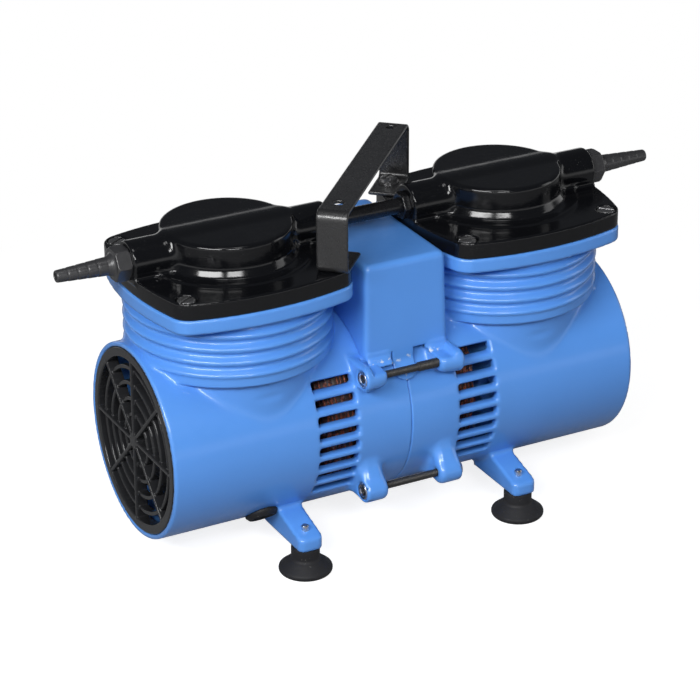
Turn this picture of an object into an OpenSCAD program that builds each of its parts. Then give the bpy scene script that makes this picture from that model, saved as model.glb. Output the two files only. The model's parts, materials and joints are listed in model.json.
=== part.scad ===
// Twin-head diaphragm vacuum pump. One motor lies along X in a split drum, with a
// pump barrel standing on each half. The left half turned half a turn about Z is the
// right half. The origin is on the ground, midway between the four rubber feet.

/* [Motor drum] */
// Outer diameter of the drum
drum_d = 104; // [100:1:108]
// Length of the drum over both open ends
drum_length = 270; // [266:1:280]
// Height of the motor axis above the ground
axis_height = 68; // [66:0.5:72]
// Thickness of the drum wall
drum_wall = 5.5; // [4.5:0.5:6]

/* [Cooling slots] */
// Number of slots in each row
slot_count = 8; // [4:1:8]
// Height of one slot
slot_height = 5; // [3:0.5:6]
// Distance between the middles of two slots
slot_pitch = 8.25; // [8:0.05:8.4]
// Distance from the seam to the inner end of a slot
slot_start = 30.5; // [30.5:0.5:34]
// Length of a slot along the drum
slot_length = 22.9; // [16:0.1:23]

/* [Pump barrels] */
// Distance between the middles of the two barrels
barrel_spacing = 158.6; // [156:0.2:162]
// Diameter over the ribs
rib_d = 108; // [106:1:109]
// Depth of the grooves between the ribs
groove_depth = 3; // [1:0.5:4]
// Distance from one rib to the next
rib_pitch = 7.15; // [7:0.05:7.3]
// Number of full ribs
rib_count = 4; // [2:1:4]
// Height of the top face of the barrel flange above the ground
flange_top = 152; // [150:0.5:154]
// Thickness of the barrel flange
flange_thickness = 7.6; // [6:0.2:8]
// Distance from the middle of a flange to the middle of its bowed side
flange_mid = 55.5; // [55:0.1:55.6]
// Radius of the bowed sides
flange_bow_r = 155; // [140:1:200]

/* [Heads] */
// Thickness of the head flange
head_flange = 9; // [8:0.5:11]
// Diameter of the round cap
cap_d = 68; // [64:1:70]
// Height of the cap above the barrel flange
cap_height = 25.5; // [24:0.5:28]
// Radius of the hollow curve at the foot of the cap
cap_fillet = 7; // [3:0.5:8]
// Distance of a corner screw from the middle of the head, along X and along Y
screw_offset = 42; // [41:0.2:42.6]

/* [Ports and hose tails] */
// Diameter of a port boss
port_d = 21.8; // [20:0.2:22]
// Distance from the middle of the head to the end of a port boss
port_reach = 55; // [54:0.2:55.6]
// Height of the port axis above the barrel flange
port_height = 15.6; // [14.6:0.2:16.6]
// Width over the flats of the hexagon of a hose tail
hex_flats = 16.2; // [15:0.2:18]
// Length of a hexagon
hex_length = 8; // [6:0.5:9]
// Length of the ribbed tail beyond the hexagon
tail_length = 30.2; // [26:0.2:34]
// Diameter of the tail at its root
tail_root_d = 9.4; // [9:0.1:11]
// Diameter of the tail at its tip
tail_tip_d = 6.2; // [6:0.1:8]
// Number of barbs on a tail
barb_count = 6; // [3:1:7]
// Outer diameter of the tube that joins the two heads
link_tube_d = 8.4; // [7:0.2:9]
// Width over the flats of the union nuts of that tube
nut_flats = 13; // [12.6:0.2:15]

/* [Tie rods and lugs] */
// Diameter of a tie rod
rod_d = 4.2; // [4:0.1:5]
// Distance of a tie rod from the middle plane of the drum
rod_side = 51.5; // [51:0.5:53]
// Height of a tie rod above or below the motor axis
rod_rise = 32; // [31:0.5:33]
// Radius of a lug round its tie rod
lug_r = 6.8; // [6.6:0.1:8]
// Distance from the seam to the inner face of a lug
lug_inner = 15.5; // [14:0.5:16]
// Distance from the seam to the outer face of a lug
lug_outer = 29.5; // [28:0.5:30]

/* [Legs and feet] */
// Distance between the feet along X
foot_span_x = 127.8; // [126:0.2:129]
// Distance between the feet along Y
foot_span_y = 107.4; // [106:0.2:109]
// Diameter of a rubber foot at the ground
foot_d = 28.2; // [26:0.2:30]
// Width of a leg
leg_width = 13.6; // [12:0.2:15]
// Height of the underside of a leg above the ground
leg_bottom = 14.6; // [14:0.1:15]

/* [Terminal box] */
// Width of the cover along X
box_width = 45.2; // [44:0.2:45.6]
// Distance of the middle of the cover from the seam, towards the right end
box_shift = 1; // [0:0.1:1]
// Depth of the cover along Y
box_depth = 84.4; // [80:0.2:86]
// Height of the top of the cover above the ground
box_top = 157.1; // [154:0.1:158]
// Wall of the cover
box_wall = 2; // [1.5:0.1:2.5]

/* [Carry handle] */
// Width of the handle strap
strap_width = 16.4; // [14:0.2:18]
// Thickness of the handle strap
strap_thickness = 2; // [1.5:0.1:3]
// Length of the handle over its two legs
handle_length = 133.8; // [132:0.2:135]
// Height of the top of the handle above the ground
handle_top = 194.1; // [186:0.1:204]
// Angle of the handle from the X axis
handle_angle = 47.7; // [46:0.1:49]
// Length of the foot tabs of the handle
tab_length = 26.5; // [20:0.5:28]

/* [Crank and rods] */
// Distance of a crank journal from the motor axis
crank_throw = 3; // [2:0.1:3]
// Diameter of the motor shaft
shaft_d = 12; // [12:1:12]
// Diameter of a crank journal
journal_d = 25; // [24:0.5:25]
// Outer diameter of a rod bearing
rod_bearing_d = 42; // [40:1:42]
// Diameter of the plates that clamp the diaphragm
clamp_d = 42; // [36:1:42]

/* [Grilles and fans] */
// Number of spokes in a grille
spoke_count = 8; // [6:1:10]
// Number of rings in a grille
ring_count = 4; // [3:1:4]
// Depth of a grille
grille_depth = 7; // [6:0.5:8]
// Number of blades on a fan
blade_count = 7; // [5:1:9]

/* [Hidden] */
$fn = 64;
casing_blue = "#3f86dc";
head_black = "#15161a";
plastic_dark = "#2c2d30";
strap_black = "#1d1d20";
rubber_dark = "#2a2a2c";
steel_light = "#c9ccd0";
steel_dark = "#4a4744";
copper_red = "#b4562c";
fit_gap = 0.03;
seam_groove = 0.4;

drum_r = drum_d / 2;
drum_end = drum_length / 2;
bore_r = drum_r - drum_wall;
chamber_r = bore_r + 1.5;
seat_r = drum_r - 2.5;
barrel_x = -barrel_spacing / 2;
rib_r = rib_d / 2;
groove_r = rib_r - groove_depth;
neck_r = groove_r - 0.6;
barrel_bore_r = 44.5;
mouth_r = 36.5;
mouth_depth = 11;
clamp_ring_r = 43.2;
membrane = 1.6;
flange_bottom = flange_top - flange_thickness;
crest_top = flange_bottom - 5.9;

head_bottom = flange_top;
head_top = flange_top + head_flange;
cap_r = cap_d / 2;
port_z = flange_top + port_height;
port_r = port_d / 2;
plate_top = head_bottom + 5;
gasket_top = plate_top + 0.6;

bulkhead_in = 54;
bulkhead_out = 62;
bearing_r = 16;
bearing_width = 10;
grille_back = drum_end - grille_depth;
foot_x = foot_span_x / 2;
foot_y = foot_span_y / 2;
handle_reach = handle_length / 2;
cover_bottom = axis_height + rod_rise + 3.5;

// Places
// Every piece of an end is drawn on the left and turned half a turn for the right
module right_end() rotate([0, 0, 180]) children();

// Draws a piece that lies along X, starting at x0 on the motor axis
module on_axis(x0) translate([x0, 0, axis_height]) rotate([0, 90, 0]) children();

module on_barrel(z0) translate([barrel_x, 0, z0]) children();

module front_and_rear() {
    children();
    mirror([0, 1, 0]) children();
}

// A ring along X between two distances
module ring_x(x0, x1, r_out, r_in) {
    on_axis(x0) difference() {
        cylinder(h = x1 - x0, r = r_out);
        translate([0, 0, -1]) cylinder(h = x1 - x0 + 2, r = r_in);
    }
}

module rounded_rect(w, h, r) {
    square([w - 2 * r, h], center = true);
    square([w, h - 2 * r], center = true);
    for (x = [-1, 1], y = [-1, 1]) translate([x * (w / 2 - r), y * (h / 2 - r)]) circle(r = r);
}

// Plate of the barrel and head flanges: four bowed sides with the corners nipped off
module bowed_plate(mid, thickness) {
    bow_shift = flange_bow_r - mid;
    corner = (sqrt(2 * flange_bow_r * flange_bow_r - bow_shift * bow_shift) - bow_shift) / 2;
    intersection() {
        cylinder(h = thickness, r = corner * sqrt(2) - 1.8);
        translate([-bow_shift, 0, 0]) cylinder(h = thickness, r = flange_bow_r, $fn = 256);
        translate([bow_shift, 0, 0]) cylinder(h = thickness, r = flange_bow_r, $fn = 256);
        translate([0, -bow_shift, 0]) cylinder(h = thickness, r = flange_bow_r, $fn = 256);
        translate([0, bow_shift, 0]) cylinder(h = thickness, r = flange_bow_r, $fn = 256);
    }
}

module corner_places()
    for (x = [-1, 1], y = [-1, 1]) translate([x * screw_offset, y * screw_offset, 0]) children();

// Casing
// Radius of the ribbed barrel at height z: a smooth wave with its crests rib_pitch apart.
// Under the last rib it runs out into a plain band, and the band steps in to the neck
function rib_radius(z) =
    rib_r - groove_depth / 2 + groove_depth / 2 * cos(360 * (z - crest_top) / rib_pitch);
band_r = rib_r - 1.4;
rib_bottom = crest_top - (rib_count - 0.755) * rib_pitch;
rib_steps = rib_count * 10;
function rib_profile() = [
    for (i = [0 : rib_steps])
        let (z = rib_bottom + (flange_bottom - rib_bottom) * i / rib_steps) [rib_radius(z), z]
];

module barrel_outside() {
    rotate_extrude($fn = 96) polygon(concat(
        [[0, axis_height], [neck_r - 1.6, axis_height], [neck_r, rib_bottom - 8.2],
         [band_r - 0.7, rib_bottom - 5.3], [band_r, rib_bottom - 4.5]],
        rib_profile(),
        [[rib_r - 2, flange_bottom + 1], [0, flange_bottom + 1]]
    ));
}

// Lug round a tie rod, joined to the drum by a web. The web of an upper lug stays under the
// terminal box, and a lower lug has a fairing that runs up the drum
lug_level = 3.3;
pocket_depth = 4.2;
module lug(rise) {
    width = lug_outer - lug_inner;
    translate([-lug_outer, -rod_side, axis_height + rise]) {
        rotate([0, 90, 0]) cylinder(h = width, r = lug_r);
        translate([0, 0, -lug_r]) cube([width, 20, lug_r + (rise > 0 ? lug_level : lug_r)]);
        if (rise < 0)
            translate([1.5, 0, 0]) rotate([90, 0, 90]) linear_extrude(width - 3)
                polygon([[0, 0], [-lug_r * 0.887, lug_r * 0.462], [1.7, 18], [12, 18], [12, 0]]);
    }
}

// A leg runs out level underneath and slopes down on top, with its end rounded in plan
module leg() {
    end_y = foot_y + 8;
    intersection() {
        translate([-foot_x - leg_width / 2, 0, 0]) rotate([90, 0, 90]) linear_extrude(leg_width)
            polygon([[0, leg_bottom], [-end_y, leg_bottom], [-end_y, leg_bottom + 6.8],
                     [-end_y + 1, leg_bottom + 7.3], [-38, leg_bottom + 13.6], [-34, leg_bottom + 16],
                     [-31.5, leg_bottom + 19], [0, leg_bottom + 19]]);
        translate([-foot_x, -end_y / 2 + 5, 0]) linear_extrude(60) rounded_rect(leg_width, end_y + 10, 3);
    }
}

module slot_row() {
    for (k = [0 : slot_count - 1])
        translate([-slot_start - slot_length, -drum_r - 8, 0])
            translate([0, 0, axis_height + (k - (slot_count - 1) / 2) * slot_pitch - slot_height / 2])
                cube([slot_length, 34, slot_height]);
}

plug_angle = 51.5;
plug_x = barrel_x + 0.9;
plug_shank_r = 7.1;
module toward_plug(distance)
    translate([plug_x, 0, axis_height]) rotate([90 + plug_angle, 0, 0]) translate([0, 0, distance])
        children();

module casing_inside() {
    // Motor space, crank space and the seat of the grille
    on_axis(-bulkhead_in) cylinder(h = bulkhead_in + 1, r = bore_r);
    on_axis(-grille_back - 1) cylinder(h = grille_back + 1 - bulkhead_out, r = chamber_r);
    on_axis(-drum_end - 1) cylinder(h = grille_depth + 1, r = seat_r);
    // Bearing pocket and shaft hole in the bulkhead
    on_axis(-bulkhead_in - bearing_width) cylinder(h = bearing_width, r = bearing_r);
    on_axis(-bulkhead_out - 6) cylinder(h = 14, r = 10);
    // Air holes in the bulkhead
    for (a = [30 : 60 : 330])
        translate([-bulkhead_out - 1, 0, axis_height]) rotate([a, 0, 0]) translate([0, 0, 34])
            rotate([0, 90, 0]) cylinder(h = 10, r = 7);
    // Bore of the barrel, closed over the motor space
    on_barrel(axis_height + drum_r + 2)
        cylinder(h = flange_top - mouth_depth - axis_height - drum_r - 2, r = barrel_bore_r);
    intersection() {
        on_barrel(axis_height) cylinder(h = drum_r + 3, r = barrel_bore_r);
        translate([-drum_end, -drum_r, axis_height]) cube([drum_end - bulkhead_out, drum_d, drum_r + 4]);
    }
    on_barrel(axis_height + drum_r) cylinder(h = flange_top, r = mouth_r);
    on_barrel(flange_top - membrane) cylinder(h = 10, r = clamp_ring_r + 0.2);
}

module casing() {
    difference() {
        union() {
            difference() {
                union() {
                    on_axis(-drum_end) rotate_extrude($fn = 128)
                        polygon([[0, 0], [drum_r - 1, 0], [drum_r, 1], [drum_r, drum_end - seam_groove],
                                 [drum_r - seam_groove, drum_end], [0, drum_end]]);
                    on_barrel(0) barrel_outside();
                    on_barrel(flange_bottom) bowed_plate(flange_mid, flange_thickness);
                    front_and_rear() {
                        lug(rod_rise);
                        lug(-rod_rise);
                        leg();
                    }
                }
                casing_inside();
            }
            // Hub that carries the bearing
            ring_x(-bulkhead_in - bearing_width - 1, -bulkhead_in + 2, bearing_r + 5, bearing_r);
            ring_x(-bulkhead_in, -bulkhead_in + 2, bearing_r + 1, 10);
        }
        front_and_rear() {
            slot_row();
            // Level top of the upper lug under the lip of the terminal box
            translate([-24.6, -60, axis_height + rod_rise + lug_level]) cube([16, 20.5, 10]);
            for (rise = [-rod_rise, rod_rise])
                translate([0, -rod_side, axis_height + rise]) rotate([0, -90, 0]) {
                    cylinder(h = lug_outer + 1, r = rod_d / 2 + 0.1);
                    translate([0, 0, lug_outer - pocket_depth]) cylinder(h = 6, r = 4.7);
                }
            translate([-foot_x, -foot_y, 0]) cylinder(h = 60, r = 2.1);
        }
        on_barrel(flange_bottom - 1) corner_places() cylinder(h = 20, r = 2.6);
        toward_plug(40) cylinder(h = 20, r = plug_shank_r + 0.1);
    }
}

// Grille and bearing
module grille() {
    ring_first = 13.6;
    ring_pitch = 8.4;
    band_in = seat_r - 5;
    ring_x(-drum_end, -grille_back, seat_r - 0.2, band_in);
    intersection() {
        on_axis(-drum_end) cylinder(h = grille_depth, r = band_in + 1);
        union() {
            for (k = [0 : ring_count - 1]) {
                r = ring_first + k * ring_pitch;
                ring_x(-drum_end + 1.7, -grille_back - 0.4, r + 1, r - 1);
            }
            for (a = [0 : 360 / spoke_count : 359])
                translate([-drum_end, 0, axis_height]) rotate([a, 0, 0])
                    translate([0, -0.8, 0]) cube([grille_depth, 1.6, seat_r - 3]);
            on_axis(-drum_end) cylinder(h = grille_depth, r = 3);
        }
    }
}

module shaft_bearing() {
    on_axis(-bulkhead_in - bearing_width) difference() {
        cylinder(h = bearing_width, r = bearing_r);
        translate([0, 0, -1]) cylinder(h = bearing_width + 2, r = shaft_d / 2 + fit_gap);
        for (z = [-0.01, bearing_width - 0.69]) translate([0, 0, z]) difference() {
            cylinder(h = 0.7, r = 13);
            translate([0, 0, -1]) cylinder(h = 3, r = 8.8);
        }
    }
}

// Motor
core_half = 22;
core_bore_r = 26;
module stator() {
    teeth = 24;
    difference() {
        ring_x(-core_half, core_half, bore_r - 0.05, core_bore_r);
        for (k = [0 : teeth - 1])
            translate([-core_half - 1, 0, axis_height]) rotate([k * 360 / teeth, 0, 0])
                translate([0, -1.6, core_bore_r - 1]) cube([2 * core_half + 2, 3.2, 13]);
    }
}

// End turns of the winding: a rounded ring of copper on each side of the core
module windings() {
    turn_mid = 37;
    for (s = [-1, 1]) on_axis(0) mirror([0, 0, s < 0 ? 1 : 0]) rotate_extrude($fn = 64)
        polygon([
            for (t = [0 : 20 : 340])
                [turn_mid + 7.2 * cos(t), max(core_half, core_half + 11 + 12 * sin(t))]
        ]);
}

module rotor() {
    on_axis(-core_half) difference() {
        union() {
            cylinder(h = 2 * core_half, r = core_bore_r - 0.4);
            translate([0, 0, -5]) cylinder(h = 2 * core_half + 10, r = 22);
        }
        translate([0, 0, -6]) cylinder(h = 2 * core_half + 12, r = shaft_d / 2 + 0.01);
    }
}

// Crank journal with its counterweight on the far side of the shaft; lift is the way it points
module eccentric(lift) {
    journal_x = barrel_x - 6.5;
    weight_x = journal_x - 8.5;
    difference() {
        union() {
            translate([journal_x, 0, axis_height + lift]) rotate([0, 90, 0])
                cylinder(h = 13, r = journal_d / 2 - 0.02);
            on_axis(weight_x) cylinder(h = 9, r = 13);
            intersection() {
                on_axis(weight_x) cylinder(h = 8, r = 36);
                translate([weight_x - 1, -40, lift > 0 ? axis_height - 40 : axis_height + 6])
                    cube([10, 80, 34]);
            }
        }
        on_axis(weight_x - 1) cylinder(h = 25, r = shaft_d / 2 + 0.01);
    }
}

fan_back = 108;
fan_front = 124;
module fan() {
    difference() {
        union() {
            on_axis(-fan_front) rotate_extrude()
                polygon([[0, 0], [9, 0], [12, 3], [13, 8], [13, fan_front - fan_back],
                         [0, fan_front - fan_back]]);
            for (a = [0 : 360 / blade_count : 359]) intersection() {
                on_axis(-fan_front + 1) cylinder(h = fan_front - fan_back - 2, r = 44);
                translate([-(fan_front + fan_back) / 2, 0, axis_height]) rotate([a, 0, 0])
                    rotate([0, 0, 38]) translate([-14, -0.9, 12]) cube([28, 1.8, 40]);
            }
        }
        on_axis(-fan_front - 1) cylinder(h = 20, r = shaft_d / 2 + 0.01);
    }
}

// Connecting rod and clamp; lift is how far the crank holds it above mid stroke
rod_top = flange_top - membrane - 5.7;
module con_rod(lift) {
    end_r = rod_bearing_d / 2 + 6;
    disc_bottom = rod_top - 3.7;
    rod_length = disc_bottom - axis_height;
    translate([barrel_x, 0, axis_height + lift]) difference() {
        union() {
            rotate([0, 90, 0]) cylinder(h = 12, r = end_r, center = true);
            translate([-4, 0, 0]) rotate([90, 0, 90]) linear_extrude(8)
                polygon([[-17, 18], [17, 18], [9, 34], [8, rod_length - 8], [13, rod_length + 0.5],
                         [-13, rod_length + 0.5], [-8, rod_length - 8], [-9, 34]]);
            translate([0, 0, rod_length - 12]) cylinder(h = 12.5, r1 = 6.4, r2 = 12);
            translate([0, 0, rod_length]) rotate_extrude()
                polygon([[0, 0], [clamp_d / 2 - 2, 0], [clamp_d / 2, 1.5], [clamp_d / 2, 3],
                         [clamp_d / 2 - 0.7, 3.7], [0, 3.7]]);
        }
        rotate([0, 90, 0]) cylinder(h = 20, r = rod_bearing_d / 2, center = true);
        translate([0, 0, rod_length - 14]) cylinder(h = 20, r = 3);
    }
}

module rod_bearing(lift) {
    width = 9;
    translate([barrel_x - width / 2, 0, axis_height + lift]) rotate([0, 90, 0]) difference() {
        cylinder(h = width, r = rod_bearing_d / 2);
        translate([0, 0, -1]) cylinder(h = width + 2, r = journal_d / 2 + fit_gap);
    }
}

module clamp_plate(lift) {
    z0 = rod_top + lift;
    on_barrel(z0) difference() {
        union() {
            cylinder(h = 3, r = 6.2);
            translate([0, 0, 2.2]) rotate_extrude()
                polygon([[0, 0], [clamp_d / 2 - 0.7, 0], [clamp_d / 2, 0.6], [clamp_d / 2, 1],
                         [clamp_d / 2 - 1.5, 1.7], [0, 1.7]]);
        }
        translate([0, 0, -1]) cylinder(h = 8, r = 3.1);
        translate([0, 0, 1.4]) cylinder(h = 2.51, r1 = 3.1, r2 = 6);
    }
}

module clamp_screw(lift) {
    on_barrel(rod_top + lift) difference() {
        union() {
            translate([0, 0, -11]) cylinder(h = 13, r = 2.95);
            translate([0, 0, 1.55]) cylinder(h = 2.2, r1 = 3.05, r2 = 5.7);
        }
        translate([0, 0, 2.2]) cylinder(h = 3, r = 2, $fn = 6);
    }
}

// Rubber membrane with one rolled fold between the clamped rim and the clamped middle
module diaphragm(lift) {
    middle = rod_top + 0.3 + lift;
    rim = flange_top - membrane;
    fold_in = clamp_d / 2 + 1;
    fold_out = mouth_r - 1;
    function fold(t) = let (s = 0.5 - 0.5 * cos(180 * t)) middle + (rim - middle) * s - 1.2 * sin(180 * t);
    lower = [for (i = [0 : 8]) [fold_in + (fold_out - fold_in) * i / 8, fold(i / 8)]];
    upper = [for (i = [8 : -1 : 0]) [fold_in + (fold_out - fold_in) * i / 8, fold(i / 8) + membrane]];
    on_barrel(0) rotate_extrude() polygon(concat(
        [[6.6, middle]], lower, [[clamp_ring_r, rim], [clamp_ring_r, rim + membrane]], upper,
        [[6.6, middle + membrane]]
    ));
}

// Heads
reed_place = 15;
module valve_holes() for (a = [0 : 60 : 300]) rotate(a) translate([5, 0, -10]) cylinder(h = 30, r = 1.5);

module valve_plate() {
    on_barrel(head_bottom) difference() {
        cylinder(h = plate_top - head_bottom, r = clamp_ring_r);
        for (s = [-1, 1]) translate([s * reed_place, 0, 0]) {
            valve_holes();
            translate([0, 0, -1]) cylinder(h = 10, r = 1.05);
        }
        translate([-reed_place, 0, -1]) cylinder(h = 2, r = 9.5);
    }
}

module head_gasket() {
    on_barrel(plate_top) difference() {
        cylinder(h = gasket_top - plate_top, r = clamp_ring_r);
        head_chambers(-1, 4);
    }
}

// The two half-round chambers of a head, parted by a wall across the middle
module head_chambers(z0, height) {
    for (s = [-1, 1]) intersection() {
        translate([0, 0, z0]) cylinder(h = height, r = cap_r - 3.5);
        translate([s > 0 ? 1.8 : -1.8 - cap_r, -cap_r, z0]) cube([cap_r, 2 * cap_r, height]);
    }
}

module reed_valves() {
    on_barrel(head_bottom) {
        translate([-reed_place, 0, 0.5]) cylinder(h = 0.4, r = 8.5);
        translate([-reed_place, 0, 0.1]) cylinder(h = 4.8, r = 1);
        translate([reed_place, 0, plate_top - head_bottom]) cylinder(h = 0.4, r = 8.5);
        translate([reed_place, 0, 0.3]) cylinder(h = plate_top - head_bottom + 1, r = 1);
    }
}

module port_boss() {
    rotate([0, 90, 0]) rotate_extrude()
        polygon([[0, 0], [port_r, 0], [port_r, port_reach - 0.8], [port_r - 0.8, port_reach],
                 [0, port_reach]]);
    translate([0, -port_r + 1.4, -6]) cube([port_reach - 0.8, 2 * port_r - 2.8, 4]);
}

// Cap of a head in section: rounded rim on top, hollow curve down to the flange
module cap_body() {
    foot = head_top - head_bottom;
    rim = 1.6;
    rotate_extrude($fn = 96) polygon(concat(
        [[0, foot - 1], [cap_r + cap_fillet, foot - 1]],
        [for (t = [0 : 15 : 90])
            [cap_r + cap_fillet - cap_fillet * sin(t), foot + cap_fillet - cap_fillet * cos(t)]],
        [for (t = [0 : 22.5 : 90]) [cap_r - rim + rim * cos(t), cap_height - rim + rim * sin(t)]],
        [[0, cap_height]]
    ));
}

module cylinder_head() {
    on_barrel(head_bottom) difference() {
        union() {
            bowed_plate(flange_mid - 0.4, head_flange);
            cap_body();
            translate([0, 0, port_height]) {
                port_boss();
                mirror([1, 0, 0]) port_boss();
            }
        }
        translate([0, 0, -1]) cylinder(h = gasket_top - head_bottom + 1, r = clamp_ring_r + 0.2);
        head_chambers(gasket_top - head_bottom - 1, cap_height - 3 - gasket_top + head_bottom + 1);
        for (s = [0, 1]) mirror([s, 0, 0]) translate([20, 0, port_height]) rotate([0, 90, 0]) {
            cylinder(h = 40, r = 4);
            translate([0, 0, port_reach - 32]) cylinder(h = 20, r = 6.5);
        }
        corner_places() {
            translate([0, 0, -1]) cylinder(h = 20, r = 2.7);
            translate([0, 0, head_flange - 3]) cylinder(h = 10, r = 5.2);
        }
    }
}

// The corner screw nearest the middle of the pump, at the front, is the one under the handle
module plain_corners() {
    for (p = [[-1, -1], [-1, 1], [1, 1]])
        translate([p[0] * screw_offset, p[1] * screw_offset, 0]) children();
}

module head_screws() {
    on_barrel(head_top - 3) plain_corners() difference() {
        union() {
            translate([0, 0, -12]) cylinder(h = 12, r = 2.5);
            rotate_extrude() polygon([[0, 0], [4.9, 0], [4.9, 1.9], [4.1, 2.8], [0, 3]]);
        }
        translate([-6, -0.7, 1.5]) cube([12, 1.4, 3]);
    }
}

// Hose tails and link tube
tail_start = port_reach + hex_length;
module hex_nut(x0, length, flats) {
    inner = flats / 2 - 0.2;
    outer = flats / 2 + 1.1;
    translate([x0, 0, port_z]) rotate([0, 90, 0]) intersection() {
        rotate(30) cylinder(h = length, r = flats / sqrt(3), $fn = 6);
        rotate_extrude()
            polygon([[0, 0], [inner, 0], [outer, 1.2], [outer, length - 1.2], [inner, length],
                     [0, length]]);
    }
}

// Outline of a tail from its root cone to the tip, one small step for each barb
function barb_r(t) = (tail_root_d + (tail_tip_d - tail_root_d) * t) / 2;
barb_first = 6.7;
land_start = tail_length - 3.6;
barb_pitch = (land_start - 0.9 - barb_first) / (barb_count - 2);
function tail_profile() = concat(
    [[0, 0], [6.6, 0], [5.6, 1.8], [barb_r(0), 4.6]],
    [for (k = [0 : barb_count - 2], e = [0, 1])
        [barb_r(k / (barb_count - 1)) + 0.2 - 0.4 * e, barb_first + k * barb_pitch + 0.5 * e]],
    [[tail_tip_d / 2, land_start], [tail_tip_d / 2, tail_length - 1], [tail_tip_d / 2 - 0.6, tail_length],
     [0, tail_length]]
);

module hose_tail() {
    difference() {
        union() {
            hex_nut(barrel_x - tail_start, hex_length, hex_flats);
            translate([barrel_x - tail_start, 0, port_z]) rotate([0, -90, 0]) rotate_extrude()
                polygon(tail_profile());
            translate([barrel_x - port_reach, 0, port_z]) rotate([0, 90, 0]) cylinder(h = 11, r = 6.4);
        }
        translate([barrel_x - tail_start - tail_length - 1, 0, port_z]) rotate([0, 90, 0])
            cylinder(h = tail_length + 30, r = 1.9);
    }
}

tube_end = -barrel_x - port_reach;
module link_tube_body() {
    translate([-tube_end - 9, 0, port_z]) rotate([0, 90, 0]) difference() {
        cylinder(h = 2 * tube_end + 18, r = link_tube_d / 2);
        translate([0, 0, -1]) cylinder(h = 2 * tube_end + 20, r = link_tube_d / 2 - 1.2);
    }
}

module tube_nut() {
    difference() {
        union() {
            hex_nut(-tube_end, 4.2, nut_flats);
            translate([-tube_end - 9, 0, port_z]) rotate([0, 90, 0]) cylinder(h = 9, r = 6.4);
        }
        translate([-tube_end - 10, 0, port_z]) rotate([0, 90, 0]) cylinder(h = 30, r = link_tube_d / 2);
    }
}

// Terminal box
lip_out = 5.2;
tongue_left = 6.4;
tongue_right = 5.9;
lip_gap = 0.8;
lip_spans = [
    [box_shift - box_width / 2 - 0.8, -tongue_left - lip_gap],
    [14, box_shift + box_width / 2 + 0.8]
];
module box_prism(w, d, h, r) {
    intersection() {
        linear_extrude(h) rounded_rect(w, d, r);
        translate([0, d / 2, h / 2]) rotate([90, 0, 0]) linear_extrude(d) rounded_rect_top(w, h, 2.4);
        translate([-w / 2, 0, h / 2]) rotate([90, 0, 90]) linear_extrude(w) rounded_rect_top(d, h, 2.4);
    }
}

// Rectangle with its two upper corners rounded
module rounded_rect_top(w, h, r) {
    translate([-w / 2, -h / 2]) square([w, h - r]);
    translate([-w / 2 + r, -h / 2]) square([w - 2 * r, h]);
    for (x = [-1, 1]) translate([x * (w / 2 - r), h / 2 - r]) circle(r = r);
}

module box_lip() {
    for (span = lip_spans) translate([span[0], -box_depth / 2, cover_bottom]) rotate([90, 0, 90])
        linear_extrude(span[1] - span[0])
            polygon([[0.2, 4], [-0.8, 2.2], [-3.2, 1.2], [-lip_out, 0.9], [-lip_out, 0], [-2.6, 0],
                     [box_wall, 1.4], [box_wall, 4]]);
}

// Tongue between the two lips, which closes the gap down to the drum
module box_tongue()
    translate([-tongue_left, -box_depth / 2, axis_height + rod_rise - 1.6])
        cube([tongue_left + tongue_right, box_wall, 8]);

module box_cover() {
    height = box_top - cover_bottom;
    difference() {
        union() {
            translate([box_shift, 0, cover_bottom]) box_prism(box_width, box_depth, height, 3);
            front_and_rear() {
                box_lip();
                box_tongue();
            }
        }
        translate([box_shift, 0, cover_bottom - 1])
            box_prism(box_width - 2 * box_wall, box_depth - 2 * box_wall, height - box_wall + 1, 2);
        on_axis(-40) cylinder(h = 80, r = drum_r + 0.05);
        front_and_rear() for (gap = [[lip_spans[0][1], -tongue_left], [tongue_right, lip_spans[1][0]]])
            translate([gap[0], -box_depth / 2 - 1, cover_bottom - 1])
                cube([gap[1] - gap[0], 4, 4]);
        translate([0, box_depth / 2 - 4, 128]) rotate([-90, 0, 0]) cylinder(h = 8, r = 5.5);
    }
}

module grommet() {
    translate([0, box_depth / 2, 128]) rotate([-90, 0, 0]) difference() {
        union() {
            translate([0, 0, -box_wall]) cylinder(h = box_wall, r = 5.4);
            rotate_extrude() polygon([[0, 0], [8, 0], [8, 1.6], [6.6, 3], [5.2, 5], [0, 5]]);
            translate([0, 0, -box_wall - 2]) cylinder(h = 2, r = 7.5);
        }
        translate([0, 0, -5]) cylinder(h = 8.8, r = 3.4);
    }
}

module capacitor() {
    translate([-4, -28, 137]) rotate([-90, 0, 0]) rotate_extrude()
        polygon([[0, 0], [12.6, 0], [14, 1.4], [14, 42], [12.8, 43.5], [12.8, 45], [0, 45]]);
}

module terminals() {
    translate([6, 22, axis_height + drum_r + 1]) difference() {
        cube([12, 12, 11]);
        for (x = [3, 9]) translate([x, 6, 4]) cylinder(h = 9, r = 1.6);
    }
    translate([6, 22, axis_height + drum_r - 2.6]) cube([12, 12, 3.6]);
}

// Feet, rods and small hardware
module rubber_foot(sx, sy) {
    translate([sx * foot_x, sy * foot_y, 0]) difference() {
        rotate_extrude()
            polygon([[9, 0], [foot_d / 2 - 0.6, 0], [foot_d / 2, 1], [foot_d / 2, 2.2],
                     [foot_d / 2 - 0.8, 3.1], [8.7, 6.7], [7.9, 7.5], [7.5, 8.4],
                     [7.5, leg_bottom], [0, leg_bottom], [0, 1.2], [8, 1.2]]);
        translate([0, 0, 3]) cylinder(h = 20, r = 2.02);
    }
}

module each_foot() for (x = [-1, 1], y = [-1, 1]) translate([x * foot_x, y * foot_y, 0]) children();

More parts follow.
